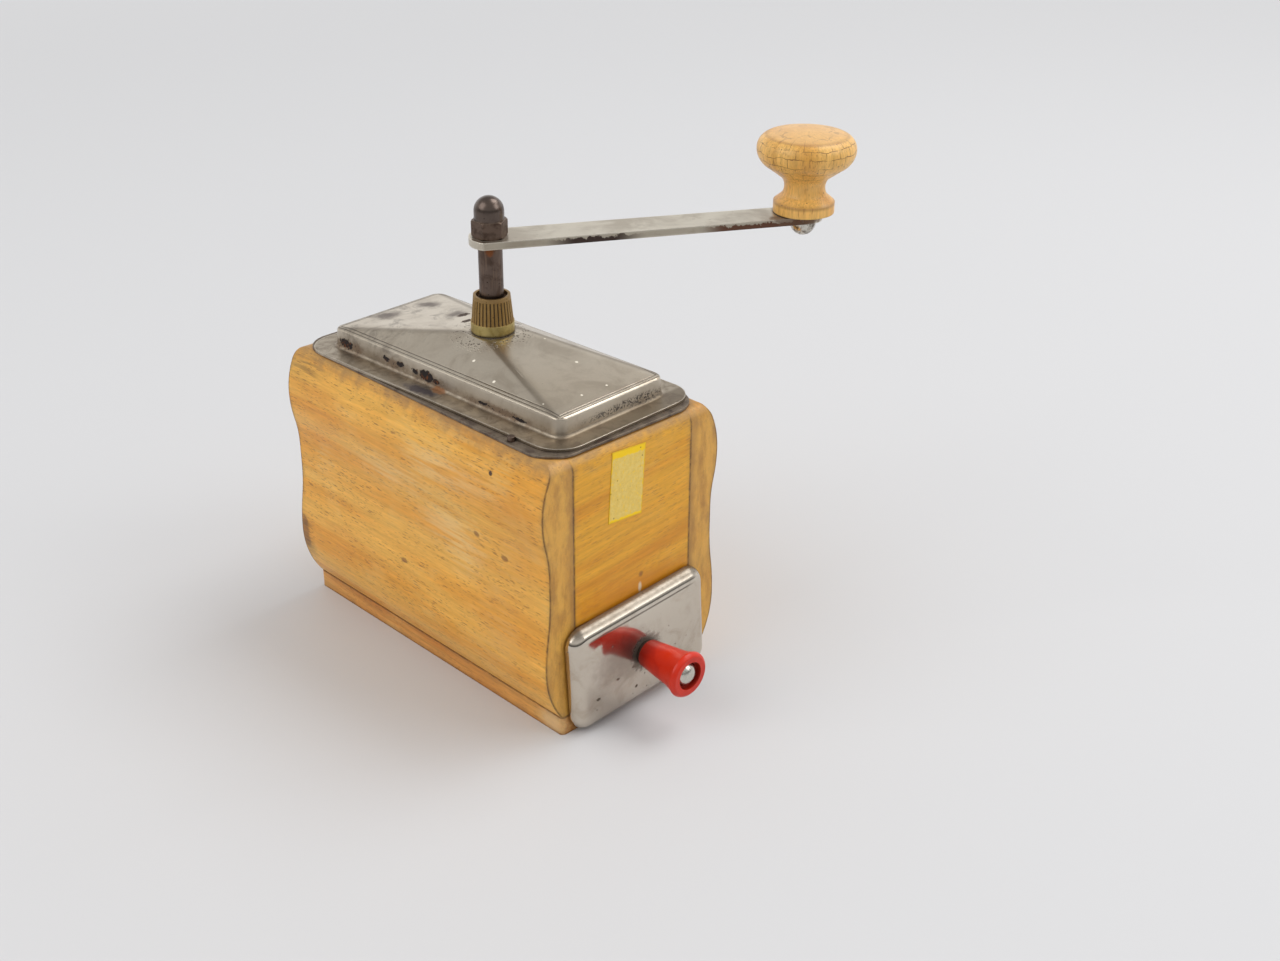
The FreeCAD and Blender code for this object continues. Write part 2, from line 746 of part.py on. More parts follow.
def neck_bush():
    """Bearing bush whose threaded neck comes out through the lid."""
    body = new_body("neck_bush")
    bore, neck = "shaft_width / 2 + running_gap", "neck_width / 2"
    collar_top = f"{bridge_top} + collar_height"
    points = [(bore, f"{plate_top} - bush_tail"), (neck, f"{plate_top} - bush_tail"), (neck, bridge_top)]
    points += [("collar_width / 2", bridge_top), ("collar_width / 2", collar_top), (neck, collar_top)]
    points += [(neck, f"{nut_top} - neck_below_nut_top"), (bore, f"{nut_top} - neck_below_nut_top")]
    revolve(body, points)
    finish(body)


def hex_nut(name, flats, height, bore, level):
    """Plain hexagon nut."""
    body = new_body(name)
    pad(body, polygon(6, flats), None, level, height)
    drill(body, [("0", "0", bore)], f"{level} + {height}", f"{height} + screw_gap")
    finish(body)


def lid_nut():
    """Finger nut on the neck: smooth ring below, tapered ribs above."""
    body = new_body("lid_nut", ("0", "0", nut_bottom))
    bore = "neck_width / 2 + running_gap"
    points = [(bore, "0"), ("nut_ring_width / 2", "0"), ("nut_ring_width / 2", "nut_ring_height")]
    points += [("nut_rib_width / 2", "nut_ring_height"), ("nut_top_width / 2", "nut_height")]
    points += [(bore, "nut_height")]
    revolve(body, points)
    sections = []
    slope = "(nut_rib_width - nut_top_width) / (nut_height - nut_ring_height)"
    groove_top = f"nut_top_width + nut_rim_height * {slope}"
    for width, level in (("nut_rib_width", "nut_ring_height"), (groove_top, "nut_height - nut_rim_height")):
        root, outside = f"({width}) / 2 - nut_rib_depth", f"({width}) / 2 + nut_rib_depth"
        points = [(root, "0"), (outside, "-nut_rib_gap"), (outside, "nut_rib_gap")]
        sections.append((points, None, level))
    groove = loft(body, *sections, "SubtractiveLoft")
    around(body, groove, "nut_ribs")
    finish(body)


# Crank

def shaft():
    """Shaft from the thrust pad to the cap nut, with a square seat for the arm."""
    body = new_body("shaft")
    revolve(body, rectangle("0", "shaft_width / 2", shaft_foot, arm_bottom))
    pad(body, polygon(4, "seat_square"), None, arm_bottom, "arm_thickness")
    revolve(body, rectangle("0", "thread_width / 2", arm_bottom, f"{arm_top} + thread_reach"))
    level = f"{burr_bottom} + burr_pin_level"
    drill(body, [("0", level, "burr_pin_width + 2 * screw_gap")], "shaft_width", "2 * shaft_width", "XZ")
    finish(body)


def crank_arm():
    """Flat arm, round at the knob and a flatter curve behind the shaft."""
    body = new_body("crank_arm", ("0", "0", arm_bottom), turn="arm_turn")
    hub, end = "arm_width / 2", "arm_end_width / 2"
    points = [("-arm_hub_corner", f"-{hub}"), ("arm_reach", f"-{end}"), (f"arm_reach + {end}", "0")]
    points += [("arm_reach", end), ("-arm_hub_corner", hub)]
    arcs = {1: (end, 1), 2: (end, 1), 4: (bend("arm_hub_reach - arm_hub_corner", hub), 1)}
    pad(body, points, arcs, "0", "arm_thickness")
    through = "arm_thickness + screw_gap"
    seat = polygon(4, "seat_square + 2 * screw_gap", "-arm_turn")
    add_feature(body, "Pocket", add_outline(new_sketch(body, "XY", "arm_thickness"), seat), through)
    drill(body, [("arm_reach", "0", "knob_pin_width + 2 * screw_gap")], "arm_thickness", through)
    finish(body)


def cap_nut():
    """Hexagon cap nut with a high dome and a blind thread."""
    body = new_body("cap_nut", ("0", "0", arm_top))
    pad(body, polygon(6, "cap_flats"), None, "0", "cap_hex_height")
    reach = "cap_flats / 2 / cos(30)"
    above, outside = "cap_hex_height + screw_gap", f"{reach} + screw_gap"
    slope = [(outside, above), (f"{reach} - cap_chamfer", above), (outside, "cap_hex_height - cap_chamfer")]
    revolve(body, slope, kind="Groove")
    slope = [(outside, "-screw_gap"), (outside, "cap_foot_chamfer")]
    slope.append((f"{reach} - cap_foot_chamfer", "-screw_gap"))
    revolve(body, slope, kind="Groove")
    radius = "cap_dome_width / 2"
    spring = f"cap_hex_height + cap_dome_height - {radius}"
    points = [("0", "cap_hex_height"), (radius, "cap_hex_height"), (radius, spring)]
    points += [("0", "cap_hex_height + cap_dome_height")]
    revolve(body, points, {2: (radius, 1)})
    drill(body, [("0", "0", "thread_width + 2 * screw_gap")], "0", "thread_reach + screw_gap", upward=True)
    finish(body)


def knob_pin():
    """Pin with a domed head under the arm that the wooden knob turns on."""
    body = new_body("knob_pin", (knob_x, knob_y, arm_bottom))
    radius, top = "knob_pin_width / 2", "arm_thickness + knob_gap + knob_pin_depth"
    points = [("0", "-knob_pin_dome"), ("knob_pin_head / 2", "0"), (radius, "0"), (radius, top), ("0", top)]
    revolve(body, points, {0: (bend("knob_pin_dome", "knob_pin_head / 2"), 1)})
    finish(body)


def crank_knob():
    """Turned wooden knob: foot, neck and round head with a low crown."""
    body = new_body("crank_knob", (knob_x, knob_y, f"{arm_top} + knob_gap"))
    names = ("foot", "shoulder", "throat", "flank", "head", "rim")
    radius = {name: f"knob_{name}_width / 2" for name in names}
    level = {name: f"knob_{name}_level" for name in names}
    points = [("0", "0"), (radius["foot"], "0"), (radius["foot"], "knob_foot_height")]
    points += [(radius[name], level[name]) for name in ("shoulder", "throat", "flank", "head", "rim")]
    points += [("0", "knob_height")]
    rise = "(knob_throat_level - knob_shoulder_level)"
    sweep = "((knob_throat_width - knob_shoulder_width) / 2)"
    neck = f"(({rise}^2 + {sweep}^2) / 4 + knob_neck_depth^2) / (2 * knob_neck_depth)"
    under = bend("(knob_head_width - knob_flank_width) / 2", "knob_head_level - knob_flank_level")
    over = bend("(knob_head_width - knob_rim_width) / 2", "knob_rim_level - knob_head_level")
    crown = bend("knob_height - knob_rim_level", "knob_rim_width / 2")
    revolve(body, points, {3: (neck, -1), 5: (under, 1), 6: (over, 1), 7: (crown, 1)})
    bore = "knob_pin_width + 2 * running_gap"
    drill(body, [("0", "0", bore)], "0", "knob_pin_depth + knob_gap", upward=True)
    finish(body)


# Burr set

def outer_burr():
    """Fixed burr: ring with a flange on the mill board, its bore narrowing to a flared mouth."""
    body = new_body("outer_burr")
    flange = rounded("burr_flange_width", "burr_flange_length", "burr_flange_corner")
    pad(body, *flange, board_top, "burr_flange")
    ring_bottom = f"({board_bottom} + burr_body_rise)"
    revolve(body, rectangle("0", "burr_body_width / 2", ring_bottom, board_top))
    land_top = f"({burr_bottom} + burr_land_height)"
    slope = "burr_land_taper / burr_land_height"
    wide = f"burr_land_width / 2 + burr_gap + (burr_rise - burr_body_rise) * {slope}"
    narrow = "burr_land_width / 2 + burr_gap - burr_land_taper"
    points = [("0", ring_bottom), (wide, ring_bottom), (narrow, land_top)]
    points += [("burr_bore_mouth / 2", flange_top), ("0", flange_top)]
    revolve(body, points, kind="Groove")
    inside, above = f"{narrow} - burr_flute_depth", f"{flange_top} + screw_gap"
    cut = [(inside, land_top), ("burr_bore_mouth / 2 + burr_flute_depth", above), (inside, above)]
    sketch = add_outline(new_sketch(body, "XZ", "0"), cut)
    flute = add_feature(body, "Pocket", sketch, "burr_flute_width", symmetric=True)
    around(body, flute, "ring_flutes")
    holes = [("0", f"{end} * burr_screw_reach", screw_hole) for end in (-1, 1)]
    drill(body, holes, flange_top, "burr_flange + screw_gap")
    finish(body)


def inner_burr():
    """Turning burr: cone with flutes, pinned to the shaft."""
    body = new_body("inner_burr", ("0", "0", burr_bottom))
    bore = "shaft_width / 2 + screw_gap"
    land_top = "burr_land_width / 2 - burr_land_taper"
    top = "burr_land_height + burr_cone_height"
    points = [(bore, "0"), ("burr_land_width / 2", "0"), (land_top, "burr_land_height")]
    points += [("burr_cone_width / 2", top), (bore, top)]
    revolve(body, points)
    outside, above = f"{land_top} + burr_flute_depth", f"{top} + screw_gap"
    deepest = "burr_cone_width / 2 - burr_flute_depth"
    cut = [(outside, "burr_land_height"), (outside, above), (deepest, above)]
    sketch = add_outline(new_sketch(body, "XZ", "0"), cut)
    flute = add_feature(body, "Pocket", sketch, "burr_flute_width", symmetric=True)
    around(body, flute, "burr_flutes")
    hole = [("0", "burr_pin_level", "burr_pin_width + 2 * screw_gap")]
    drill(body, hole, "burr_land_width", "2 * burr_land_width", "XZ")
    finish(body)


def burr_pin():
    """Cross pin through the inner burr and the shaft."""
    body = new_body("burr_pin", ("0", "0", f"{burr_bottom} + burr_pin_level"), (1, 0, 0), "90")
    revolve(body, rectangle("0", "burr_pin_width / 2", "-burr_cone_width / 2", "burr_cone_width / 2"))
    finish(body)


def lower_bridge():
    """Strap under the mill board with the adjusting screw's thread."""
    body = new_body("lower_bridge")
    outline = rounded("panel_width - 2 * lower_bridge_end_gap", "lower_bridge_width", "lower_bridge_corner")
    pad(body, *outline, lower_bridge_bottom, "lower_bridge_sheet")
    holes = [("0", "0", "adjuster_width + 2 * running_gap")]
    holes += [(f"{side} * lower_bridge_screw_reach", "0", screw_hole) for side in (-1, 1)]
    drill(body, holes, board_bottom, "lower_bridge_sheet + screw_gap")
    finish(body)


def adjusting_screw():
    """Screw under the shaft that sets the gap between the burrs."""
    body = new_body("adjusting_screw", ("0", "0", lower_bridge_bottom))
    radius = "adjuster_width / 2"
    head_top = "-(lock_nut_gap + lock_nut_height + adjuster_gap)"
    head_bottom = f"{head_top} - adjuster_head_height"
    tip = "lower_bridge_sheet"
    rim = "adjuster_head_width / 2"
    points = [("0", head_bottom), (rim, head_bottom), (rim, head_top)]
    points += [(radius, head_top), (radius, tip), ("0", tip)]
    revolve(body, points)
    slot = rectangle("-adjuster_head_width", "adjuster_head_width", "-screw_slot", "screw_slot")
    sketch = add_outline(new_sketch(body, "XY", head_bottom), slot)
    add_feature(body, "Pocket", sketch, "adjuster_head_height / 2", reverse=True)
    finish(body)


def thrust_pad():
    """Steel pad between the adjusting screw and the shaft."""
    body = new_body("thrust_pad", ("0", "0", board_bottom))
    revolve(body, rectangle("0", "adjuster_width / 2", "0", "pad_height"))
    finish(body)


# Drawer

def drawer_front():
    """Wooden front board behind the metal front."""
    body = new_body("drawer_front", ("0", "0", drawer_bottom))
    points = rectangle(f"-{drawer_half}", drawer_half, "0", drawer_height)
    pad(body, points, None, front_board_end, "drawer_front_thickness", "XZ")
    hole = [("0", f"{front_middle} - {drawer_bottom}", "pull_screw_width + 2 * screw_gap")]
    drill(body, hole, front_back, "drawer_front_thickness + screw_gap", "XZ")
    finish(body)


def drawer_side(name, side):
    """Long side wall; side is 1 for the right one."""
    body = new_body(name, ("0", "0", drawer_bottom))
    near_x, far_x = f"{side} * ({drawer_half} - drawer_wall)", f"{side} * {drawer_half}"
    points = rectangle(near_x, far_x, f"-{front_board_end}", drawer_end)
    pad(body, points, None, "0", drawer_height)
    finish(body)


def drawer_back():
    """Rear wall between the sides."""
    body = new_body("drawer_back", ("0", "0", drawer_bottom))
    inside = f"({drawer_half} - drawer_wall)"
    points = rectangle(f"-{inside}", inside, f"{drawer_end} - drawer_wall", drawer_end)
    pad(body, points, None, "0", drawer_height)
    finish(body)


def drawer_floor():
    """Thin floor between the walls."""
    body = new_body("drawer_floor", ("0", "0", drawer_bottom))
    inside = f"({drawer_half} - drawer_wall)"
    points = rectangle(f"-{inside}", inside, f"-{front_board_end}", f"{drawer_end} - drawer_wall")
    pad(body, points, None, "0", "drawer_floor")
    finish(body)


def front_outline(inset, corner, level):
    """The metal front's outline, drawn in all round."""
    width = f"panel_width + 2 * front_lap_side - 2 * ({inset})"
    height = f"drawer_opening + front_lap_top + front_lap_bottom - 2 * ({inset})"
    return (*rounded(width, height, corner), level)


def drawer_plate():
    """Metal front: a shallow pressed pan with rolled edges and a slightly crowned face."""
    body = new_body("drawer_plate", ("0", "0", front_middle), (0, 1, 0), "front_tilt")
    depth = "front_reach - front_rim_gap"
    rim = f"({half_length} + front_rim_gap)"
    points, arcs, _ = front_outline("0", "front_corner", rim)
    pad(body, points, arcs, rim, depth, "XZ")
    fillet(body, lambda spot: near(spot.y, f"-{front_face}"), "front_roll")
    points, arcs, _ = front_outline("front_sheet", "front_corner - front_sheet", rim)
    sketch = add_outline(new_sketch(body, "XZ", rim), points, arcs)
    add_feature(body, "Pocket", sketch, f"{depth} - front_sheet", reverse=True)
    fillet(body, lambda spot: near(spot.y, f"-{front_back}"), "front_roll - front_sheet")
    inner = "front_crown_inset + front_crown_run"
    for face, kind in ((front_face, "AdditiveLoft"), (front_back, "SubtractiveLoft")):
        low = front_outline("front_crown_inset", "front_crown_corner", face)
        high = front_outline(inner, "front_crown_corner", f"{face} + front_crown")
        loft(body, low, high, kind, "XZ")
    hole = [("0", "0", "pull_screw_width + 2 * screw_gap")]
    drill(body, hole, pull_seat, "front_sheet + screw_gap", "XZ")
    finish(body)


def drawer_knob_washer():
    """Washer between the metal front and the knob."""
    body = new_body("drawer_knob_washer", ("0", f"-{pull_seat}", front_middle), (1, 0, 0), "90")
    bore = "pull_screw_width / 2 + screw_gap"
    revolve(body, rectangle(bore, "pull_washer_width / 2", "0", "pull_washer"))
    finish(body)


def drawer_knob():
    """Flared knob with a recess for its screw."""
    body = new_body("drawer_knob", ("0", f"-{pull_foot}", front_middle), (1, 0, 0), "90")
    lip = "pull_length - pull_rim_height"
    bore, recess = "pull_screw_width / 2 + screw_gap", "pull_recess_width / 2"
    floor = "pull_length - pull_recess_depth"
    points = [(bore, "0"), ("pull_foot_width / 2", "0"), ("pull_middle_width / 2", "pull_middle_level")]
    points += [("pull_rim_width / 2", lip), ("pull_rim_flat / 2", "pull_length"), (recess, "pull_length")]
    points += [(recess, floor), (bore, floor)]
    edge = bend("(pull_rim_width - pull_rim_flat) / 2", "pull_rim_height")
    revolve(body, points, {2: ("pull_flare_curve", -1), 3: (edge, 1)})
    finish(body)


for board_name, board_side in (("left_side_board", -1), ("right_side_board", 1)):
    side_board(board_name, board_side)
end_panel("front_panel", -1, opening_top)
end_panel("rear_panel", 1, "base_thickness")
base_board()
mill_board()
label()
hopper_plate()
lid_stop_pin()
hopper_funnel()
lid()
upper_bridge()
neck_bush()
hex_nut("bush_nut", "bush_nut_flats", "bush_nut_height", "neck_width + 2 * screw_gap",
        f"({plate_top} - bush_nut_height)")
lid_nut()
shaft()
crank_arm()
cap_nut()
knob_pin()
crank_knob()
outer_burr()
inner_burr()
burr_pin()
lower_bridge()
adjusting_screw()
hex_nut("lock_nut", "lock_nut_flats", "lock_nut_height", "adjuster_width + 2 * running_gap",
        f"({lower_bridge_bottom} - lock_nut_gap - lock_nut_height)")
thrust_pad()
drawer_front()
for wall_name, wall_side in (("drawer_left_side", -1), ("drawer_right_side", 1)):
    drawer_side(wall_name, wall_side)
drawer_back()
drawer_floor()
drawer_plate()
drawer_knob_washer()
drawer_knob()
for count, (side_sign, end_sign) in enumerate(((-1, -1), (1, -1), (-1, 1), (1, 1)), start=1):
    base_spot = (f"{side_sign} * base_screw_across / 2", f"{end_sign} * {base_screw_y}", "0")
    sunk_screw(f"base_screw_{count}", base_spot, "base_screw_length", flip="180")
    top_spot = (f"{side_sign} * plate_screw_across / 2", f"{end_sign} * {plate_screw_y}", plate_top)
    sunk_screw(f"plate_screw_{count}", top_spot, "plate_screw_length")
for count, sign in enumerate((-1, 1), start=1):
    bridge_rivet(f"bridge_rivet_{count}", sign)
    round_screw(f"burr_screw_{count}", ("0", f"{sign} * burr_screw_reach", flange_top),
                "round_head", "round_head_dome", "screw_width", "inner_screw_length")
    lower_spot = (f"{sign} * lower_bridge_screw_reach", "0", lower_bridge_bottom)
    round_screw(f"lower_bridge_screw_{count}", lower_spot,
                "round_head", "round_head_dome", "screw_width", "inner_screw_length", flip="180")
round_screw("drawer_knob_screw", ("0", f"-({pull_foot} + pull_length - pull_recess_depth)", front_middle),
            "pull_screw_head", "pull_screw_dome", "pull_screw_width",
            f"{pull_foot} + pull_length - pull_recess_depth - {front_board_end}", flip="90", slotted=False)

# Check every object, then write one file for each piece
doc.recompute()
for item in doc.Objects:
    if "Invalid" in item.State or "Error" in item.State:
        raise RuntimeError(f"{item.Name} failed: {item.State}")
for body in finished:
    shape = body.Shape
    if shape.isNull() or not shape.isValid() or len(shape.Solids) != 1:
        raise RuntimeError(f"{body.Label} is not one valid solid")
os.makedirs("parts", exist_ok=True)
for body in finished:
    body.Shape.exportStep(f"parts/{body.Label}.step")
print(len(finished), "pieces")
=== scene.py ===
# %% [markdown]
# # A hand-cranked spice mill
# This lesson dresses a wooden box mill. Its solid pieces come from a CAD model, so every board, screw and
# spindle already has its true size and place. What is left is what CAD can't show: varnished beech with its
# flecks, tarnished nickel, rust, grease and wear.

# %% Load the packed pieces
import json
import math
import bpy
from mathutils import Matrix, Vector


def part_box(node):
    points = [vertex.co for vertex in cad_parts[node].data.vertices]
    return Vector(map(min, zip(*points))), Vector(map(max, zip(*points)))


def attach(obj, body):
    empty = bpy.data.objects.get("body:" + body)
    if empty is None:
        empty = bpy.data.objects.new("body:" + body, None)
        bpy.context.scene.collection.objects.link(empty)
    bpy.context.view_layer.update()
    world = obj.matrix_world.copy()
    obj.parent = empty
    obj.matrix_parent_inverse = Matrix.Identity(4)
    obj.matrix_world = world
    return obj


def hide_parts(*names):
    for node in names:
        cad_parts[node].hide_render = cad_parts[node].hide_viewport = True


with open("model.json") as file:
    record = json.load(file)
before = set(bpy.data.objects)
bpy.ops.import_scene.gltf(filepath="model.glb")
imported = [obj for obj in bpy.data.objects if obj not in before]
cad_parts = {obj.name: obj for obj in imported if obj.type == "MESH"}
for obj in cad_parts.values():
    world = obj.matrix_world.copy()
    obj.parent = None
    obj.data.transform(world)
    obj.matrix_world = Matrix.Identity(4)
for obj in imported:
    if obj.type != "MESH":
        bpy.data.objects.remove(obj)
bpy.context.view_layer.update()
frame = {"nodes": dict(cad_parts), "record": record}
nodes = frame["nodes"]

# %% [markdown]
# The camera repeats the one that took the photograph. It was found by fitting the box's straight edges and
# known lengths, so the mill falls nearly on the same pixels. It looks down by 27 degrees, half way between
# the front and the left side.

# %% Set up the camera
mm = 0.001
photo_width = 1280
focal_pixels = 1663.7
camera_place = Vector((-313.68, -384.14, 307.20)) * mm
camera_turn, camera_dip, camera_roll = 44.70, 27.01, 0.50


def turn(degrees, axis):
    return Matrix.Rotation(math.radians(degrees), 4, axis)


bpy.ops.object.camera_add()
camera = bpy.context.object
camera.data.lens = focal_pixels / photo_width * camera.data.sensor_width
camera.matrix_world = (Matrix.Translation(camera_place) @ turn(-camera_turn, "Z")
                       @ turn(90 - camera_dip, "X") @ turn(camera_roll, "Z"))
camera.data.clip_start = 0.01
bpy.context.scene.camera = camera
print("lens", round(camera.data.lens, 2), "mm")

# %% [markdown]
# Every surface of an old tool is made of layers: the clean material, then tarnish, dirt, rust and rubbed
# edges on top of it. A material is a tree of nodes, and joining nodes one by one by hand is slow to write and
# to read. The mixer below puts a node, fills its sockets and gives back its output in one call, so that sums
# and masks read like plain arithmetic.

# %% A mixer for nodes
def tone(red, green, blue):
    """A colour as a screen shows it, turned into amounts of light."""
    return tuple((value / 255) ** 2.2 for value in (red, green, blue))


class Mixer:
    """Puts nodes into a tree and joins them."""

    def __init__(self, tree):
        self.tree = tree

    def put(self, kind, sockets=None, output=0, **options):
        """Add a node, set its options, fill its sockets and give back one of its outputs."""
        node = self.tree.nodes.new("ShaderNode" + kind)
        for option, value in options.items():
            setattr(node, option, value)
        for socket, value in (sockets or {}).items():
            self.feed(node.inputs[socket], value)
        return node.outputs[output]

    def feed(self, socket, value):
        """Link a node's output to a socket, or set the socket's own value."""
        if isinstance(value, bpy.types.NodeSocket):
            self.tree.links.new(value, socket)
        elif socket.type == "RGBA":
            socket.default_value = (*value, 1.0)[:4]
        else:
            socket.default_value = value

    def split(self, vector):
        parts = self.put("SeparateXYZ", {0: vector}).node
        return parts.outputs[0], parts.outputs[1], parts.outputs[2]

    def math(self, operation, first, second=0.0):
        return self.put("Math", {0: first, 1: second}, operation=operation)

    def add(self, first, second):
        return self.math("ADD", first, second)

    def minus(self, first, second):
        return self.math("SUBTRACT", first, second)

    def times(self, first, second):
        return self.math("MULTIPLY", first, second)

    def either(self, first, second):
        return self.math("MAXIMUM", first, second)

    def size(self, value):
        return self.math("ABSOLUTE", value)

    def step(self, value, start, end):
        """Smooth rise from 0 where the value is start to 1 where it is end."""
        return self.put("MapRange", {0: value, 1: start, 2: end}, interpolation_type="SMOOTHSTEP")

    def band(self, value, low, high, soft=0.2):
        """1 where the value lies between low and high."""
        above_low = self.step(value, low - soft, low + soft)
        below_high = self.step(value, high + soft, high - soft)
        return self.times(above_low, below_high)

    def scale(self, value, low, high):
        """Stretch 0 to 1 into low to high."""
        return self.put("MapRange", {0: value, 3: low, 4: high})

    def blend(self, amount, under, over):
        """Lay one colour over another."""
        return self.put("Mix", {0: amount, 6: under, 7: over}, output=2, data_type="RGBA")

    def fade(self, amount, under, over):
        """Go from one number to another."""
        return self.put("Mix", {0: amount, 2: under, 3: over}, data_type="FLOAT")


print("a tone of 128 gives", round(tone(128, 128, 128)[0], 3), "of full light")

# %% [markdown]
# A finish is laid up like the real surface. It starts from one colour, and each layer is laid on through a
# mask between 0 and 1, changing colour, gloss and metal together. The masks come from noise, cells, distances
# in millimetres and the way a face points. Places are measured in a frame that can be moved and turned onto
# the piece.

# %% Finishes built up in layers
class Finish(Mixer):
    """A material while it is being mixed. Places are in millimetres, in a frame of its own."""

    def __init__(self, name, colour, roughness=0.5, metallic=0.0, centre=(0, 0, 0), turned=0.0, **settings):
        self.material = bpy.data.materials.new(name)
        self.material.use_nodes = True
        super().__init__(self.material.node_tree)
        self.shader = self.tree.nodes["Principled BSDF"]
        for socket, value in settings.items():
            self.feed(self.shader.inputs[socket.replace("_", " ")], value)
        metres = self.put("TexCoord", output="Object")
        raw_place = self.put("VectorMath", {0: metres, "Scale": 1 / mm}, operation="SCALE")
        frame_turn = (0, 0, math.radians(turned))
        self.place = self.put("Mapping", {0: raw_place, 1: centre, 2: frame_turn}, vector_type="TEXTURE")
        self.x, self.y, self.z = self.split(self.place)
        self.colour, self.roughness, self.metallic, self.normal = colour, roughness, metallic, None

    def lay(self, amount, colour=None, roughness=None, metallic=None):
        """Lay a layer over what is there, as strongly as the mask says."""
        if colour is not None:
            self.colour = self.blend(amount, self.colour, colour)
        if roughness is not None:
            self.roughness = self.fade(amount, self.roughness, roughness)
        if metallic is not None:
            self.metallic = self.fade(amount, self.metallic, metallic)

    def tint(self, pattern, low, high):
        """Darken and lighten the colour with a pattern."""
        factor = self.scale(pattern, low, high)
        self.colour = self.put("VectorMath", {0: self.colour, "Scale": factor}, operation="SCALE")

    def relief(self, height, depth):
        """Raise the surface by a pattern, so many millimetres deep."""
        sockets = {"Height": height, "Distance": depth * mm, "Strength": 1.0}
        if self.normal is not None:
            sockets["Normal"] = self.normal
        self.normal = self.put("Bump", sockets)

    def soften(self, radius):
        """Shade sharp edges as if they were rounded."""
        self.normal = self.put("Bevel", {"Radius": radius * mm}, samples=6)

    def done(self):
        """Feed the shader and give back the material."""
        for socket, value in (("Base Color", self.colour), ("Roughness", self.roughness),
                              ("Metallic", self.metallic), ("Normal", self.normal)):
            if value is not None:
                self.feed(self.shader.inputs[socket], value)
        return self.material

    def stretched(self, lengths, turns=(0, 0, 0), shift=(0, 0, 0)):
        """The place, measured in a pattern's own lengths along X, Y and Z."""
        scales = tuple(1 / length for length in lengths)
        angles = tuple(math.radians(angle) for angle in turns)
        moved = self.put("Mapping", {0: self.place, 1: shift, 2: angles})
        return self.put("VectorMath", {0: moved, 1: scales}, operation="MULTIPLY")

    def clouds(self, size=1.0, detail=3.0, roughness=0.5, warp=0.0, place=None):
        """Noise with patches of that size, mostly between 0.3 and 0.7."""
        sockets = {"Vector": self.place if place is None else place, "Scale": 1 / size, "Detail": detail}
        return self.put("TexNoise", {**sockets, "Roughness": roughness, "Distortion": warp})

    def dots(self, size=1.0, place=None):
        """Distance to the nearest of scattered points."""
        return self.put("TexVoronoi", {"Vector": self.place if place is None else place, "Scale": 1 / size})

    def stain(self, centre, reach, ragged=0.5, grain=2.0, soft=0.15):
        """1 inside an uneven patch about a centre, reaching so far along X, Y and Z."""
        offset = self.put("VectorMath", {0: self.place, 1: centre}, operation="SUBTRACT")
        scaled = self.put("VectorMath", {0: offset, 1: reach}, operation="DIVIDE")
        far = self.put("VectorMath", {0: scaled}, output="Value", operation="LENGTH")
        uneven = self.clouds(grain, 4.0, 0.65)
        return self.step(self.add(far, self.scale(uneven, -ragged, ragged)), 1.0 + soft, 1.0 - soft)

    def stains(self, spots, ragged=0.5, grain=2.0, soft=0.15):
        """The patches of several centres and reaches together."""
        total = 0.0
        for centre, reach in spots:
            total = self.either(self.stain(centre, reach, ragged, grain, soft), total)
        return total

    def edges(self, radius, sharpness=1.0):
        """Near 1 on the piece's edges, where a rounded normal leaves the true one."""
        soft = self.put("Bevel", {"Radius": radius * mm}, samples=6)
        true = self.put("NewGeometry", output="Normal")
        dot = self.put("VectorMath", {0: soft, 1: true}, output="Value", operation="DOT_PRODUCT")
        return self.step(dot, 1.0, 1.0 - 0.3 / sharpness)

    def corners(self, reach):
        """Near 1 in hollows, where other surfaces stand close."""
        open_sky = self.put("AmbientOcclusion", {"Distance": reach * mm}, output="AO", samples=8)
        return self.step(open_sky, 0.8, 0.35)

    def out(self):
        """Distance from the frame's upright axis."""
        return self.math("SQRT", self.add(self.times(self.x, self.x), self.times(self.y, self.y)))


def dress(material, *names):
    """Give a CAD piece its finish."""
    for name in names:
        slots = nodes[name].data.materials
        slots.clear()
        slots.append(material)


print("a finish can use", [name for name in vars(Finish) if not name.startswith("_")])

# %% [markdown]
# A studio for a small object is a pale table, a pale backdrop and a few large soft lamps. The camera sees
# pale grey in all directions. Far from the mill the table fades into it, so no horizon shows from any side.
# Only camera rays see that fading, so the light on the mill stays as it is.

# %% Table
bpy.ops.object.select_all(action="DESELECT")
bpy.ops.mesh.primitive_plane_add(size=12)
floor = bpy.context.object
floor.name = "floor"
pale_grey = (0.71, 0.71, 0.72)
fade_start, fade_end = 500.0, 1600.0
table = Finish("pale_table", (0.63, 0.63, 0.64), roughness=0.6, Specular_IOR_Level=0.2)
seen = table.put("LightPath", output="Is Camera Ray")
far_away = table.times(table.step(table.out(), fade_start, fade_end), seen)
glow = table.put("Emission", {"Color": pale_grey})
surface = table.put("MixShader", {0: far_away, 1: table.shader.outputs[0], 2: glow})
table.feed(table.tree.nodes["Material Output"].inputs["Surface"], surface)
floor.data.materials.append(table.done())
print("table fades out between", fade_start, "and", fade_end, "mm")

# %% [markdown]
# Metal shows mostly what stands around it, so the room matters as much as the lamps. Behind the mill it is
# pale near the table and darker above. On the camera's side a dark strip lies along the horizon, which the
# rolled edge of the drawer's front shows as a thin line.

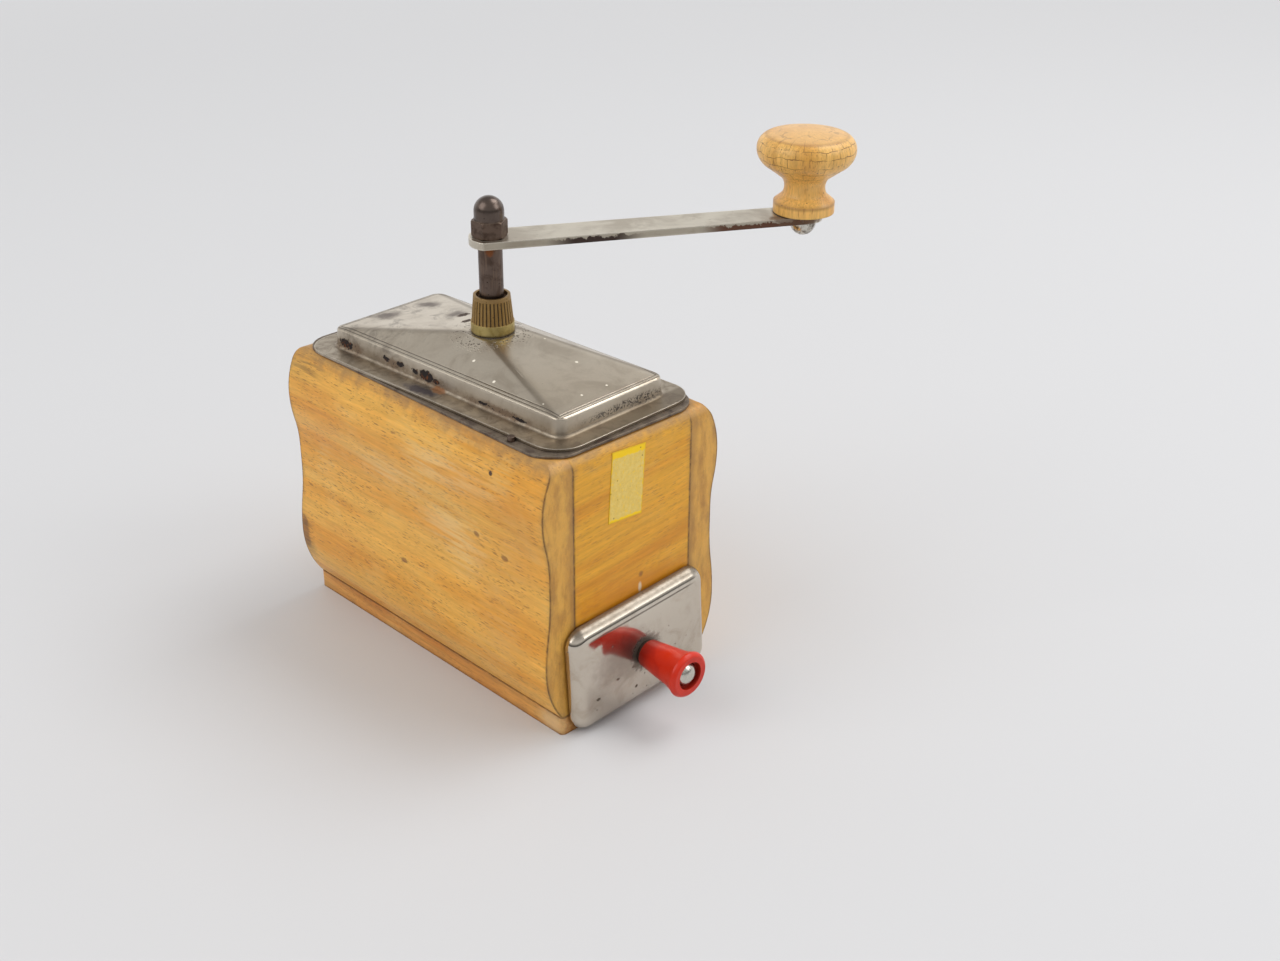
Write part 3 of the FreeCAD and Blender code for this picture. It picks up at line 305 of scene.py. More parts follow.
# %% Room
room = bpy.data.worlds.new("room")
bpy.context.scene.world = room
room.use_nodes = True
sky = Mixer(room.node_tree)
towards = sky.put("TexCoord", output="Generated")
side, ahead, height = sky.split(towards)
far_side = sky.step(sky.add(side, ahead), -0.5, 0.9)
backdrop = sky.fade(sky.step(height, 0.20, 0.80), 1.08, 0.50)
near_room = sky.fade(sky.step(height, 0.10, 0.34), 0.12, 0.66)
brightness = sky.fade(far_side, near_room, backdrop)
grey = sky.put("CombineColor", {0: brightness, 1: brightness, 2: brightness})
background = room.node_tree.nodes["Background"]
seen = sky.put("LightPath", output="Is Camera Ray")
sky.feed(background.inputs["Color"], sky.blend(seen, grey, pale_grey))
background.inputs["Strength"].default_value = 1.0
print("room lit by", room.name, "at strength", background.inputs["Strength"].default_value)

# %% [markdown]
# Three square lamps stand a little over two metres away, each about half as wide as that or wider, which
# gives soft shadows. The strongest is high on the right, the widest on the left, and the weakest fills in
# from the front right.

# %% Lamps
lamp_target = Vector((0, 0, 0.07))


def soft_lamp(name, place, size, watts):
    """Square lamp that looks at the mill."""
    bpy.ops.object.light_add(type="AREA", location=place)
    lamp = bpy.context.object
    lamp.name = name
    lamp.data.size = size
    lamp.data.energy = watts
    aim = lamp_target - Vector(place)
    lamp.rotation_euler = aim.to_track_quat("-Z", "Y").to_euler()


soft_lamp("left_lamp", (-1.6, 0.5, 1.5), 1.6, 15)
soft_lamp("right_lamp", (1.0, -1.5, 1.3), 1.1, 9)
soft_lamp("top_lamp", (1.2, -0.3, 1.9), 1.2, 18)
bpy.context.scene.view_settings.view_transform = "Standard"

# %% [markdown]
# The case is beech under an old honey varnish. Beech has no bold figure: what marks it is a rain of short
# dark flecks along the grain, fine silky fibres and slow bands of tone. A noise stretched along the grain
# gives the fibres and bands, and a cell pattern stretched the same way gives the flecks. Because the patterns
# are solid, the boards' ends show end grain by themselves.

# %% Beech
honey, pale_honey, deep_honey = tone(236, 177, 78), tone(240, 200, 120), tone(226, 156, 54)
fleck_brown, grey_wood, seam_dark = tone(142, 84, 32), tone(148, 114, 74), tone(60, 42, 28)


def beech(name, along, light, deep, tilt=(0, 0, 0), shift=(0, 0, 0), flecks=0.6, centre=(0, 0, 0), coat=0.22,
          contrast=1.0):
    """Varnished beech with its grain along one axis. It keeps its maker of patterns along that grain."""
    finish = Finish(name, light, roughness=0.45, centre=centre, Specular_IOR_Level=0.4, Coat_Weight=coat,
                    Coat_Roughness=0.3)
    ring_depth, fibre_depth = 0.28 * contrast, 0.30 * contrast

    def grain(across, length):
        lengths = tuple(length if axis == along else across for axis in "XYZ")
        return finish.stretched(lengths, tilt, shift)

    bands = finish.clouds(detail=3.0, warp=0.2, place=grain(9.0, 110.0))
    rings = finish.clouds(detail=3.0, place=grain(1.3, 38.0))
    fibres = finish.clouds(detail=2.0, roughness=0.6, place=grain(0.55, 7.0))
    finish.lay(finish.step(bands, 0.38, 0.66), deep)
    finish.tint(rings, 1.0 - ring_depth, 1.0 + ring_depth)
    finish.tint(fibres, 1.0 - fibre_depth, 1.0 + fibre_depth)
    scattered = finish.step(finish.clouds(detail=2.0, place=grain(4.0, 14.0)), 0.30, 0.58)
    long_fleck = finish.step(finish.dots(place=grain(0.8, 6.5)), 0.26, 0.14)
    short_fleck = finish.step(finish.dots(place=grain(0.55, 2.8)), 0.30, 0.16)
    fleck = finish.times(finish.either(long_fleck, finish.times(short_fleck, 0.8)), scattered)
    finish.lay(finish.times(fleck, flecks), fleck_brown)
    finish.soften(0.5)
    finish.relief(finish.times(fleck, -1.0), 0.05)
    finish.relief(fibres, 0.012)
    finish.roughness = finish.scale(finish.clouds(9.0), 0.34, 0.58)
    finish.grain = grain
    return finish


print("beech from", [round(part, 2) for part in honey], "to", [round(part, 2) for part in deep_honey])

# %% [markdown]
# On the case the varnish has a history. Sun and hands have bleached some patches and darkened others, the
# upper rims and edges are worn grey, and dirt lies in the joints. Hollows, where parts stand close, are
# darkened with painted shade. The ends of the side boards are the most weathered, so they get tones of their
# own. A face's normal tells them from the rest of the board.

# %% Beech of the case
def old_ends(finish, uneven):
    """Lay streaked gold on the ends of a board that lies along Y, darker near the seam with the panel."""
    normal = finish.put("NewGeometry", output="Normal")
    facing = finish.step(finish.size(finish.split(normal)[1]), 0.6, 0.9)
    upright = finish.clouds(detail=5.0, roughness=0.65, place=finish.stretched((4.0, 4.0, 13.0)))
    old_gold = finish.blend(finish.step(upright, 0.30, 0.60), tone(166, 118, 56), tone(218, 164, 74))
    finish.lay(finish.times(facing, 0.8), old_gold)
    sideways = finish.add(finish.size(finish.x), finish.scale(uneven, -3.5, 3.5))
    near_seam = finish.step(sideways, 29.0, 25.0)
    finish.lay(finish.times(finish.times(facing, near_seam), 0.5), tone(150, 106, 54))


def case_beech(name, along, marks, light=honey, deep=deep_honey, tilt=(0, 0, 0), shift=(0, 0, 0), bleach=0.4,
               ends=False, flecks=0.6, contrast=1.0):
    """Beech of the case: patches changed by sun and hands, grey worn edges, dark joints and painted shade in
    hollows.
    """
    finish = beech(name, along, light, deep, tilt, shift, flecks, contrast=contrast)
    uneven = finish.clouds(7.0, 4.0, 0.6)
    long_clouds = finish.clouds(detail=4.0, roughness=0.6, place=finish.grain(1.5, 24.0))
    streaks = finish.step(long_clouds, 0.40, 0.58)
    sunned = finish.times(finish.step(finish.clouds(24.0, 3.0, 0.55, 0.5), 0.48, 0.7), streaks)
    finish.lay(finish.times(sunned, bleach), pale_honey)
    if ends:
        old_ends(finish, uneven)
    for colour, strength, soft, spots in marks:
        patch = finish.times(finish.stains(spots, 0.5, 3.0, soft), strength)
        if soft > 0.7:
            patch = finish.times(patch, finish.scale(streaks, 0.2, 1.0))
        finish.lay(patch, colour)
    height = finish.add(finish.z, finish.scale(finish.clouds(5.0, 5.0, 0.65), -6.0, 6.0))
    finish.lay(finish.times(finish.step(height, 88.0, 95.5), 0.75), grey_wood, 0.62)
    rubbed = finish.times(finish.edges(4.5, 1.5), finish.step(uneven, 0.40, 0.60))
    finish.lay(finish.times(rubbed, 0.5), grey_wood, 0.6)
    patchy = finish.scale(finish.step(finish.clouds(2.5, 4.0), 0.3, 0.55), 0.5, 1.0)
    joint = finish.times(finish.times(finish.edges(1.2, 3.0), patchy), finish.step(finish.z, 93.0, 90.0))
    finish.lay(finish.times(joint, 0.85), seam_dark, 0.7)
    # Painted shade: an orange-brown darkening in the hollows, where other parts stand close.
    finish.lay(finish.times(finish.corners(4.0), 0.5), tone(150, 86, 24), 0.6)
    return finish.done()


side_face, panel_face = -36, -64.5


def side_patch(along, up, reach_along, reach_up):
    """The centre and reach of a mark on the left side board."""
    return (side_face, along, up), (9, reach_along, reach_up)


def front_patch(across, up, reach_across, reach_up):
    """The centre and reach of a mark on the front panel."""
    return (across, panel_face, up), (reach_across, 3, reach_up)


print("side marks lie at", side_face, "mm and front marks at", panel_face, "mm")

# %% [markdown]
# Each mark on the case is a tone, a strength, a softness and the patches it lies on. The palest and the
# warmest ones on the sides are large and soft. Most knots and bruises are only a few millimetres across. The
# dark orange band across the front panel, just above the drawer, is painted shadow.

# %% Marks on the boards
brown, dark_spot = tone(132, 84, 40), tone(62, 44, 34)
side_marks = [
    (tone(242, 204, 140), 0.5, 0.8, [side_patch(-16.4, 56.2, 13, 6), side_patch(-23.7, 53.0, 9, 8),
                                      side_patch(-20.4, 78.7, 17, 5), side_patch(10.0, 66.0, 16, 5)]),
    (tone(206, 122, 34), 0.3, 0.75, [side_patch(48, 74, 12, 13), side_patch(40, 30, 16, 7),
                                     side_patch(-46, 32, 14, 22), side_patch(-50, 66, 9, 16)]),
    (brown, 0.7, 0.3, [side_patch(-30.9, 60.2, 1.3, 0.9), side_patch(-44, 56.8, 1.5, 1.0),
                       side_patch(6, 36.2, 1.6, 0.8), side_patch(62.9, 24.8, 2.4, 6.0)]),
    (dark_spot, 0.95, 0.2, [side_patch(-40.5, 85, 0.8, 0.7)]),
    (dark_spot, 0.5, 0.8, [((side_face + 2, 57, 89), (9, 8, 4)), side_patch(62, 24, 3, 9)]),
]
front_marks = [
    # Painted shadow: a dark orange band across the panel just above the drawer's front.
    (tone(206, 120, 14), 0.6, 0.7, [front_patch(0, 41.0, 27, 5)]),
    (tone(236, 224, 196), 0.7, 0.4, [front_patch(3, 40.4, 0.7, 1.8)]),
    (brown, 0.7, 0.5, [front_patch(3.4, 45.0, 0.9, 0.9)]),
]
sides = case_beech("side_beech", "Y", side_marks, ends=True, flecks=0.75, contrast=0.8)
dress(sides, "left_side_board", "right_side_board")
panel = case_beech("panel_beech", "X", front_marks, tone(226, 162, 40), tone(210, 136, 20), tilt=(0, 5, 0),
                   shift=(40, 13, 7), bleach=0.12, flecks=0.4, contrast=0.65)
dress(panel, "front_panel", "rear_panel")
base_marks = [(tone(226, 196, 146), 0.6, 0.6, [((-30.5, -60, 3), (4, 5, 5))])]
base = case_beech("base_beech", "Y", base_marks, tone(214, 152, 76), tone(194, 120, 44), shift=(11, 60, 5))
dress(base, "base_board")
print("case dressed in beech")

# %% [markdown]
# Inside, the wood never saw varnish. It is greyer and matt, and years of pepper and cloves have left brown
# dust and specks on it. Its corners are darker still, with dust and painted shade.

# %% Bare wood inside
bare = beech("inner_beech", "Y", tone(196, 158, 110), tone(176, 134, 86), shift=(5, 9, 31), coat=0.0)
bare.roughness = 0.8
bare.lay(bare.times(bare.step(bare.clouds(14.0, 4.0, 0.6), 0.45, 0.7), 0.5), tone(142, 106, 68))
# Dust and painted shade: brown darkening where other surfaces stand close.
bare.lay(bare.times(bare.corners(8.0), 0.6), tone(92, 62, 36))
bare.lay(bare.times(bare.step(bare.dots(2.2), 0.16, 0.08), 0.7), tone(84, 54, 30))
dress(bare.done(), "mill_board", "drawer_front", "drawer_left_side", "drawer_right_side", "drawer_back",
      "drawer_floor")
print("inside dressed in bare beech")

# %% [markdown]
# The knob was turned on a lathe and varnished. The varnish has shrunk and cracked in a net: rings around the
# knob, joined by short upright cracks. A brick pattern wrapped around the axis gives just that net, and
# noise breaks it up. The crown is greyer and more matt, because the palm has rubbed its varnish thin, and the
# rims are greyer too.

# %% Turned knob
knob_low, knob_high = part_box("crank_knob")
knob_axis = (knob_low + knob_high) / 2 / mm
knob_bottom, knob_top = knob_low.z / mm, knob_high.z / mm
net_radius, net_foot, crown_edge = 15.0, knob_bottom + 10.0, knob_top - 1.9
turned = beech("knob_beech", "Z", tone(234, 182, 98), tone(216, 158, 72), shift=(3, 8, 2), flecks=0.5,
               centre=(knob_axis.x, knob_axis.y, 0), coat=0.35)
angle = turned.math("ARCTAN2", turned.y, turned.x)
wobble = turned.clouds(5.0)
level = turned.add(turned.z, turned.scale(wobble, -1.3, 1.3))
around = turned.put("CombineXYZ", {0: turned.times(angle, net_radius), 1: level})
net = turned.put("TexBrick", {"Vector": around, "Scale": 1.0, "Mortar Size": 0.13, "Mortar Smooth": 0.6,
                              "Brick Width": 4.7, "Row Height": 2.6}, output=1)
broken = turned.step(turned.clouds(4.0, 3.0, 0.6), 0.36, 0.56)
on_head = turned.step(turned.z, net_foot, net_foot + 3.0)
crack = turned.times(turned.times(net, broken), on_head)
turned.lay(turned.times(crack, 0.8), tone(116, 74, 34), 0.6)
turned.lay(turned.times(turned.step(turned.dots(3.1), 0.12, 0.06), 0.7), tone(90, 62, 38))
crown = turned.step(turned.add(turned.z, turned.scale(wobble, -0.8, 0.8)), crown_edge, crown_edge + 1.0)
turned.lay(turned.times(crown, 0.6), tone(214, 170, 116), 0.65)
crown_line = turned.band(turned.z, crown_edge, crown_edge + 0.5, 0.25)
turned.lay(turned.times(crown_line, 0.45), tone(150, 106, 62))
foot_ring = turned.band(turned.z, knob_bottom + 2.7, knob_bottom + 3.9, 0.5)
turned.lay(turned.times(foot_ring, 0.5), tone(140, 96, 48))
turned.lay(turned.times(turned.edges(0.9), 0.35), tone(176, 156, 124))
turned.relief(turned.times(crack, -1.0), 0.06)
dress(turned.done(), "crank_knob")
print("knob runs from", round(knob_bottom, 1), "to", round(knob_top, 1), "mm")

# %% [markdown]
# Nickel plating wears in a set way. It greys evenly on open faces, stays bright on the rubbed edges, and
# its hollows hold grime and painted shade, where rust breaks through. The helper below makes the grey, cloudy
# metal, and each piece adds its own marks.

# %% Worn metal
def worn_metal(name, clean, tarnish, gloss=(0.26, 0.44), size=9.0, **settings):
    """Plated or bare metal with clouds of tarnish and fine scratches."""
    finish = Finish(name, clean, metallic=1.0, **settings)
    finish.patches = finish.clouds(size, 5.0, 0.62, 0.6)
    finish.lay(finish.step(finish.patches, 0.42, 0.68), tarnish)
    fine = finish.clouds(0.7, 2.0)
    finish.tint(fine, 0.94, 1.06)
    finish.roughness = finish.add(finish.scale(finish.patches, *gloss), finish.scale(fine, -0.06, 0.06))
    finish.soften(0.3)
    hairs = finish.either(finish.clouds(place=finish.stretched((0.12, 7.0, 7.0), (0, 0, 24))),
                          finish.clouds(place=finish.stretched((9.0, 0.14, 9.0), (0, 0, 11))))
    finish.relief(finish.step(hairs, 0.62, 0.75), 0.004)
    return finish


soot, rust, dust = tone(42, 34, 32), tone(112, 66, 36), tone(240, 232, 214)
print("soot, rust and dust give", [round(layer[0], 3) for layer in (soot, rust, dust)], "of full red light")

# %% [markdown]
# The lid is one sheet of nickelled steel, pressed into a low hipped roof. Seen closely, its hips are soft
# valleys of shadow, two fine beads run around the roof's edge, drawn as dark lines of painted shade, and the
# flange is smeared with dried grease. Hips and beads follow the pan's outline, so their masks are distances
# worked out from it.

# %% Lid: roof, walls and flange
lid_turn = 2.8
flange_low, flange_high, wall_low, wall_high = 96.2, 96.9, 100.6, 101.6
lid = worn_metal("worn_nickel", tone(200, 189, 172), tone(180, 168, 151), (0.26, 0.38), 13.0, turned=lid_turn)
pan_half_width, pan_half_length, pan_level, roof_foot = 22.95, 53.05, 101.8, 8.0
wide, long = lid.size(lid.x), lid.size(lid.y)
hip_run = Vector((pan_half_width - roof_foot, pan_half_length - roof_foot)).normalized()
off_hip = lid.size(lid.minus(lid.times(lid.minus(wide, roof_foot), hip_run.y),
                             lid.times(lid.minus(long, roof_foot), hip_run.x)))
on_roof = lid.step(lid.z, pan_level - 0.4, pan_level + 0.1)
hip = lid.times(lid.step(off_hip, 1.9, 0.1), on_roof)
lid.lay(lid.times(hip, 0.55), tone(118, 108, 96), 0.5)
from_rim = lid.math("MINIMUM", lid.minus(pan_half_width, wide), lid.minus(pan_half_length, long))
# The beads are grooves in the relief, and their dark lines are painted shade.
shaded_bead = lid.either(lid.band(from_rim, 0.75, 1.05, 0.2), lid.band(from_rim, 1.75, 2.1, 0.2))
shaded_bead = lid.times(shaded_bead, on_roof)
lid.lay(lid.times(shaded_bead, 0.9), tone(72, 64, 56), 0.5)
rear_left = lid.times(lid.step(lid.y, 6.0, 30.0), lid.step(lid.x, 20.0, 0.0))
smoke = lid.times(lid.step(lid.clouds(8.0, 6.0, 0.72, 0.8), 0.48, 0.66), rear_left)
lid.lay(lid.times(smoke, 0.55), tone(104, 96, 90), 0.5)
roof_smudges = [((-5.6, 46.4, 103), (4, 4, 3)), ((5.7, 23.1, 105), (3, 3, 3)),
                ((9.9, 42.5, 103), (3, 4, 3))]
lid.lay(lid.stains(roof_smudges, 0.9, 3.0, 0.7), tone(122, 112, 104), 0.5)
flange = lid.step(lid.z, flange_high, flange_low)
wall = lid.times(lid.step(lid.z, flange_low, flange_high), lid.step(lid.z, wall_high, wall_low))
lid.lay(lid.times(wall, lid.scale(lid.patches, 0.1, 0.5)), tone(150, 138, 122), 0.4)
lid.lay(lid.times(flange, 0.5), tone(150, 136, 116), 0.42)
lid.lay(lid.times(lid.times(flange, lid.step(lid.y, -52.0, -54.0)), 0.6), tone(104, 92, 74), 0.5)
grease = lid.times(flange, lid.step(lid.clouds(5.0, 5.0, 0.7, 0.8), 0.42, 0.66))
lid.lay(lid.times(grease, 0.6), tone(112, 98, 84), 0.5)
# Painted shade with grime: dark brown in the lid's hollows, where other parts stand close.
lid.lay(lid.times(lid.corners(1.6), 0.6), tone(84, 68, 54), 0.65, 0.4)
print("lid turned by", lid_turn, "degrees")

# %% [markdown]
# Dirt on a lid lies where hands and spice leave it: crumbs around the neck, brown haze and dark holes along
# the foot of the left wall, where rust has eaten through, and a dark smear on the flange. Each place is a
# patch with a centre and a reach, torn up by noise so that no two look alike.

# %% Lid: dirt and rust
left_wall, front_wall = -23.4, -53.6


def wall_patch(along, up, reach_along, reach_up, depth=1.5):
    """The centre and reach of a mark on the lid's left wall."""
    return (left_wall, along, up), (depth, reach_along, reach_up)


near_neck = lid.times(lid.step(lid.out(), 16.0, 9.0), lid.step(lid.clouds(2.4, 4.0), 0.42, 0.55))
crumbs = lid.times(lid.step(lid.dots(0.9), 0.42, 0.28), near_neck)
lid.lay(crumbs, tone(58, 44, 34), 0.85, 0.0)
roof_crumbs = [((1.2, 13.8, 107), (2, 1.4, 3)), ((14.9, 4.7, 106), (2, 1, 3)),
               ((5.7, 20.5, 106), (2.4, 1.5, 3))]
lid.lay(lid.stains(roof_crumbs, 0.8, 1.0), tone(72, 58, 48), 0.8, 0.1)
front_left = lid.times(lid.step(lid.y, 2.0, -8.0), on_roof)
specks = lid.times(lid.step(lid.dots(6.0), 0.10, 0.07), front_left)
lid.lay(specks, dust, 0.6, 0.0)
brown_patches = [wall_patch(44.0, 97.6, 7.0, 1.8, 1.6), wall_patch(21.0, 97.8, 7.0, 1.6, 1.6),
                 wall_patch(5.0, 97.4, 9.0, 2.0, 1.6), wall_patch(-28.0, 97.0, 15.0, 1.2, 1.6)]
haze = lid.stains(brown_patches, 1.2, 3.0, 0.7)
lid.lay(lid.times(haze, 0.75), tone(116, 90, 66), 0.6, 0.5)
flecked = lid.times(haze, lid.step(lid.clouds(0.7, 4.0, 0.7), 0.56, 0.64))
lid.lay(lid.times(flecked, 0.8), soot, 0.8, 0.2)
small_holes = [wall_patch(46.1, 98, 3.2, 1.4), wall_patch(25.8, 98.6, 1.5, 0.8),
               wall_patch(18.7, 98.6, 1.8, 0.9), wall_patch(11.6, 98.4, 1.6, 0.8),
               wall_patch(-20.2, 97.2, 2.4, 0.5), wall_patch(-36.7, 96.9, 3.0, 0.5)]
large_holes = [wall_patch(6.0, 98.4, 3.6, 1.7), wall_patch(1.4, 97.8, 1.6, 0.9)]
eaten = lid.either(lid.stains(small_holes, 1.3, 1.3, 0.1), lid.stains(large_holes, 0.7, 2.0, 0.1))
lid.lay(eaten, lid.blend(lid.step(lid.clouds(1.2, 4.0), 0.56, 0.68), soot, rust), 0.85, 0.1)
front_patches = [((5.0, front_wall, 98.2), (17.0, 1.2, 1.2)), ((14.0, front_wall, 97.6), (8.0, 1.2, 1.5))]
front_dirt = lid.stains(front_patches, 0.9, 2.0, 0.5)
speckled = lid.times(front_dirt, lid.step(lid.clouds(0.7, 4.0, 0.7), 0.46, 0.56))
lid.lay(lid.times(speckled, 0.85), soot, 0.8, 0.2)
smear = lid.stains([((-27.8, 4.0, 96), (2.4, 7.0, 2))], 0.9, 2.5, 0.5)
lid.lay(lid.times(smear, 0.85), tone(52, 46, 58), 0.5, 0.5)
lid.lay(lid.times(lid.stain((-24.5, -0.7, 96), (1.6, 3.0, 1.5), 0.8), 0.7), tone(150, 96, 48), 0.7, 0.3)
rubbed = lid.edges(0.8)
lid.lay(lid.times(lid.times(rubbed, flange), 0.8), tone(214, 206, 190), 0.25, 1.0)
lid.relief(lid.times(lid.either(shaded_bead, eaten), -1.0), 0.12)
lid.relief(crumbs, 0.15)
dress(lid.done(), "lid")
print("lid has", len(small_holes) + len(large_holes), "eaten places on its left wall")

# %% [markdown]
# The hopper's plate under the lid has lost most of its plating. What shows around the flange is dark,
# brownish steel with blotches and spots of rust, paler along its rubbed edges.

# %% Hopper plate
plate = worn_metal("tarnished_plate", tone(136, 124, 110), tone(98, 86, 78), (0.42, 0.62), 6.0)
plate.lay(plate.times(plate.step(plate.clouds(3.0, 5.0, 0.7), 0.52, 0.7), 0.55), tone(60, 50, 50), 0.65, 0.6)
plate.lay(plate.times(plate.edges(0.5), 0.5), tone(150, 138, 122), 0.4)
plate.lay(plate.times(plate.step(plate.clouds(1.6, 4.0), 0.6, 0.72), 0.6), tone(92, 62, 40), 0.85, 0.2)
dress(plate.done(), "hopper_plate")
print("hopper plate dressed in", plate.material.name)

# %% [markdown]
# The lid nut is brass, lacquered once. Its smooth ring is olive yellow, the ribs are browner, and black
# grease fills the grooves. A point's distance from the axis tells a groove's floor from a rib's top. The nut
# narrows upwards, so the ribs' reach is worked out for each level.

# %% Lid nut and neck
nut_low, nut_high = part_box("lid_nut")
nut_bottom, nut_top = nut_low.z / mm, nut_high.z / mm
nut = worn_metal("brass", tone(184, 166, 110), tone(158, 138, 84), (0.38, 0.52), 3.0)
rib_foot, foot_radius, top_radius = nut_bottom + 3.4, 6.7, 5.9
rib_reach = nut.put("MapRange", {0: nut.z, 1: rib_foot, 2: nut_top, 3: foot_radius, 4: top_radius})
above_ring = nut.step(nut.z, rib_foot - 0.1, rib_foot + 0.1)
nut.lay(nut.times(above_ring, 0.75), tone(150, 114, 70), 0.5)
sunk = nut.minus(rib_reach, nut.out())
below_rim = nut.times(above_ring, nut.step(nut.z, nut_top - 0.9, nut_top - 1.4))
groove = nut.times(nut.step(sunk, 0.06, 0.26), below_rim)
nut.lay(groove, tone(38, 27, 18), 0.8, 0.2)
nut.lay(nut.times(nut.times(nut.edges(0.35), above_ring), 0.4), tone(176, 146, 98), 0.35)
worn_rim = nut.times(nut.step(nut.z, nut_top - 1.5, nut_top - 1.0), nut.scale(nut.clouds(1.2, 3.0), 0.2, 0.9))
nut.lay(worn_rim, tone(150, 124, 88), 0.45)
nut.lay(nut.times(nut.step(nut.z, nut_bottom + 0.9, nut_bottom), 0.7), tone(58, 44, 30), 0.7, 0.3)
nut.lay(nut.times(nut.step(nut.dots(1.7), 0.14, 0.07), 0.7), tone(74, 56, 34), 0.7)
dress(nut.done(), "lid_nut")

neck = worn_metal("grimy_neck", tone(96, 68, 44), tone(60, 42, 28), (0.55, 0.7), 2.0)
neck.lay(neck.times(neck.step(neck.clouds(0.9, 4.0), 0.45, 0.6), 0.6), tone(44, 32, 24), 0.85, 0.1)
dress(neck.done(), "neck_bush")
print("nut from", round(nut_bottom, 1), "to", round(nut_top, 1), "mm")

# %% [markdown]
# Shaft, cap nut, stop pin and washer are bare steel gone brown. The shaft carries old oil, the dome of the
# cap nut is polished by fingers, and its hexagon is matt. A spot of fresh rust sits under the arm.

# %% Brown steel
steel = worn_metal("brown_steel", tone(104, 90, 82), tone(84, 70, 62), (0.32, 0.44), 5.0)
steel.lay(steel.times(steel.step(steel.clouds(1.6, 4.0, 0.65), 0.54, 0.72), 0.4), tone(62, 50, 43), 0.55, 0.8)
streaks = steel.clouds(detail=3.0, place=steel.stretched((0.5, 0.5, 6.0)))
steel.lay(steel.times(steel.step(streaks, 0.5, 0.68), 0.4), tone(134, 112, 96), 0.4)
steel.lay(steel.stain((-2.6, -2.9, 136.6), (1.4, 1.4, 1.8), 0.6, 0.8, 0.4), tone(132, 78, 42), 0.85, 0.0)
steel.lay(steel.times(steel.step(steel.dots(2.3), 0.12, 0.06), 0.8), tone(34, 28, 25), 0.7)
steel.lay(steel.times(steel.edges(0.4), 0.35), tone(156, 140, 124), 0.35)
dress(steel.done(), "shaft", "lid_stop_pin")

washer = worn_metal("greasy_washer", tone(78, 62, 50), tone(52, 40, 32), (0.5, 0.7), 2.0)
washer.lay(washer.scale(washer.clouds(1.0, 4.0), 0.6, 1.0), tone(50, 38, 30), 0.75, 0.1)
dress(washer.done(), "drawer_knob_washer")

hexagon_height = 5.5
dome_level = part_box("cap_nut")[0].z / mm + hexagon_height
cap = worn_metal("cap_steel", tone(108, 92, 82), tone(80, 66, 58), (0.42, 0.55), 3.0, Coat_Roughness=0.2)
cap.lay(cap.times(cap.edges(0.35), 0.5), tone(150, 134, 116), 0.4)
on_dome = cap.step(cap.z, dome_level - 0.05, dome_level + 0.25)
cap.lay(on_dome, cap.blend(cap.patches, tone(106, 94, 86), tone(74, 62, 56)), 0.30)
cap.feed(cap.shader.inputs["Coat Weight"], cap.times(on_dome, 0.3))
cap.lay(cap.times(cap.step(cap.dots(1.9), 0.14, 0.07), 0.6), tone(40, 30, 26), 0.6)
dress(cap.done(), "cap_nut")
print("dome of the cap nut starts at", round(dome_level, 1), "mm")

# %% [markdown]
# The arm was cut from strip and nickelled. Its top is pale and finely scratched along its length. Its side
# that faces us is painted darker, a painted reflection of the dark room on our side, and its hollows hold
# painted shade. On the lower edge that faces us the plating has flaked off in two long chips, and near the
# knob it has rusted. The knob's pin and the screw in the drawer's knob are one steel. Only the pin, high up,
# is grimy.

# %% Arm and pins
arm_turn = -29.3
arm_low, arm_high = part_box("crank_arm")
arm_bottom, arm_top = arm_low.z / mm, arm_high.z / mm
arm = worn_metal("arm_nickel", tone(202, 194, 178), tone(176, 166, 150), (0.30, 0.44), 16.0, turned=arm_turn)
drawn = arm.clouds(detail=3.0, place=arm.stretched((22.0, 0.3, 3.0)))
arm.tint(drawn, 0.9, 1.1)
arm.lay(arm.times(arm.step(arm.clouds(2.2, 5.0, 0.7), 0.58, 0.72), 0.4), tone(140, 130, 116), 0.5)
ragged_edge = arm.scale(arm.clouds(2.4, 5.0, 0.7), -2.4, 2.4)
far_end, hub_edge, far_edge = 103.8, -6.75, -6.2
edge_line = arm.put("MapRange", {0: arm.x, 1: 0.0, 2: far_end, 3: hub_edge, 4: far_edge})
on_side = arm.step(arm.minus(edge_line, arm.y), -0.35, -0.1)
# Painted reflection: the side that faces us is darker, as if it mirrored a dark room.
arm.lay(arm.times(on_side, 0.5), tone(150, 140, 124), 0.5)
arm.lay(arm.times(arm.edges(0.9, 2.0), 0.6), tone(232, 226, 212), 0.28)
under_chip = arm.step(arm.add(arm.z, ragged_edge), arm_bottom + 1.7, arm_bottom + 1.5)
chipped = arm.either(arm.band(arm.x, 20.0, 44.0, 6.0), arm.band(arm.x, 70.0, 104.0, 5.0))
chip = arm.times(arm.times(on_side, under_chip), chipped)
arm.lay(chip, arm.blend(arm.step(arm.x, 60.0, 75.0), tone(64, 50, 44), tone(98, 66, 50)), 0.75, 0.3)
near_knob = arm.times(arm.stain((99.0, -5.0, arm_bottom + 2), (9.0, 3.0, 3.0), 0.7, 2.5), 0.7)
arm.lay(near_knob, tone(108, 84, 66), 0.6, 0.5)
# Painted shade: dark brown in the arm's hollows, where other parts stand close.
arm.lay(arm.times(arm.corners(1.6), 0.7), tone(76, 62, 50), 0.7, 0.3)
arm.relief(arm.times(chip, -1.0), 0.12)
dress(arm.done(), "crank_arm")

pin = worn_metal("pin_steel", tone(204, 200, 190), tone(164, 158, 148), (0.18, 0.32), 2.4)
above_lid = pin.step(pin.z, 100.0, 110.0)
grimy = pin.times(pin.step(pin.clouds(1.6, 4.0, 0.65), 0.45, 0.6), above_lid)
pin.lay(pin.times(grimy, 0.75), tone(86, 76, 68), 0.45)
dress(pin.done(), "knob_pin", "drawer_knob_screw")
print("arm from", round(arm_bottom, 1), "to", round(arm_top, 1), "mm")
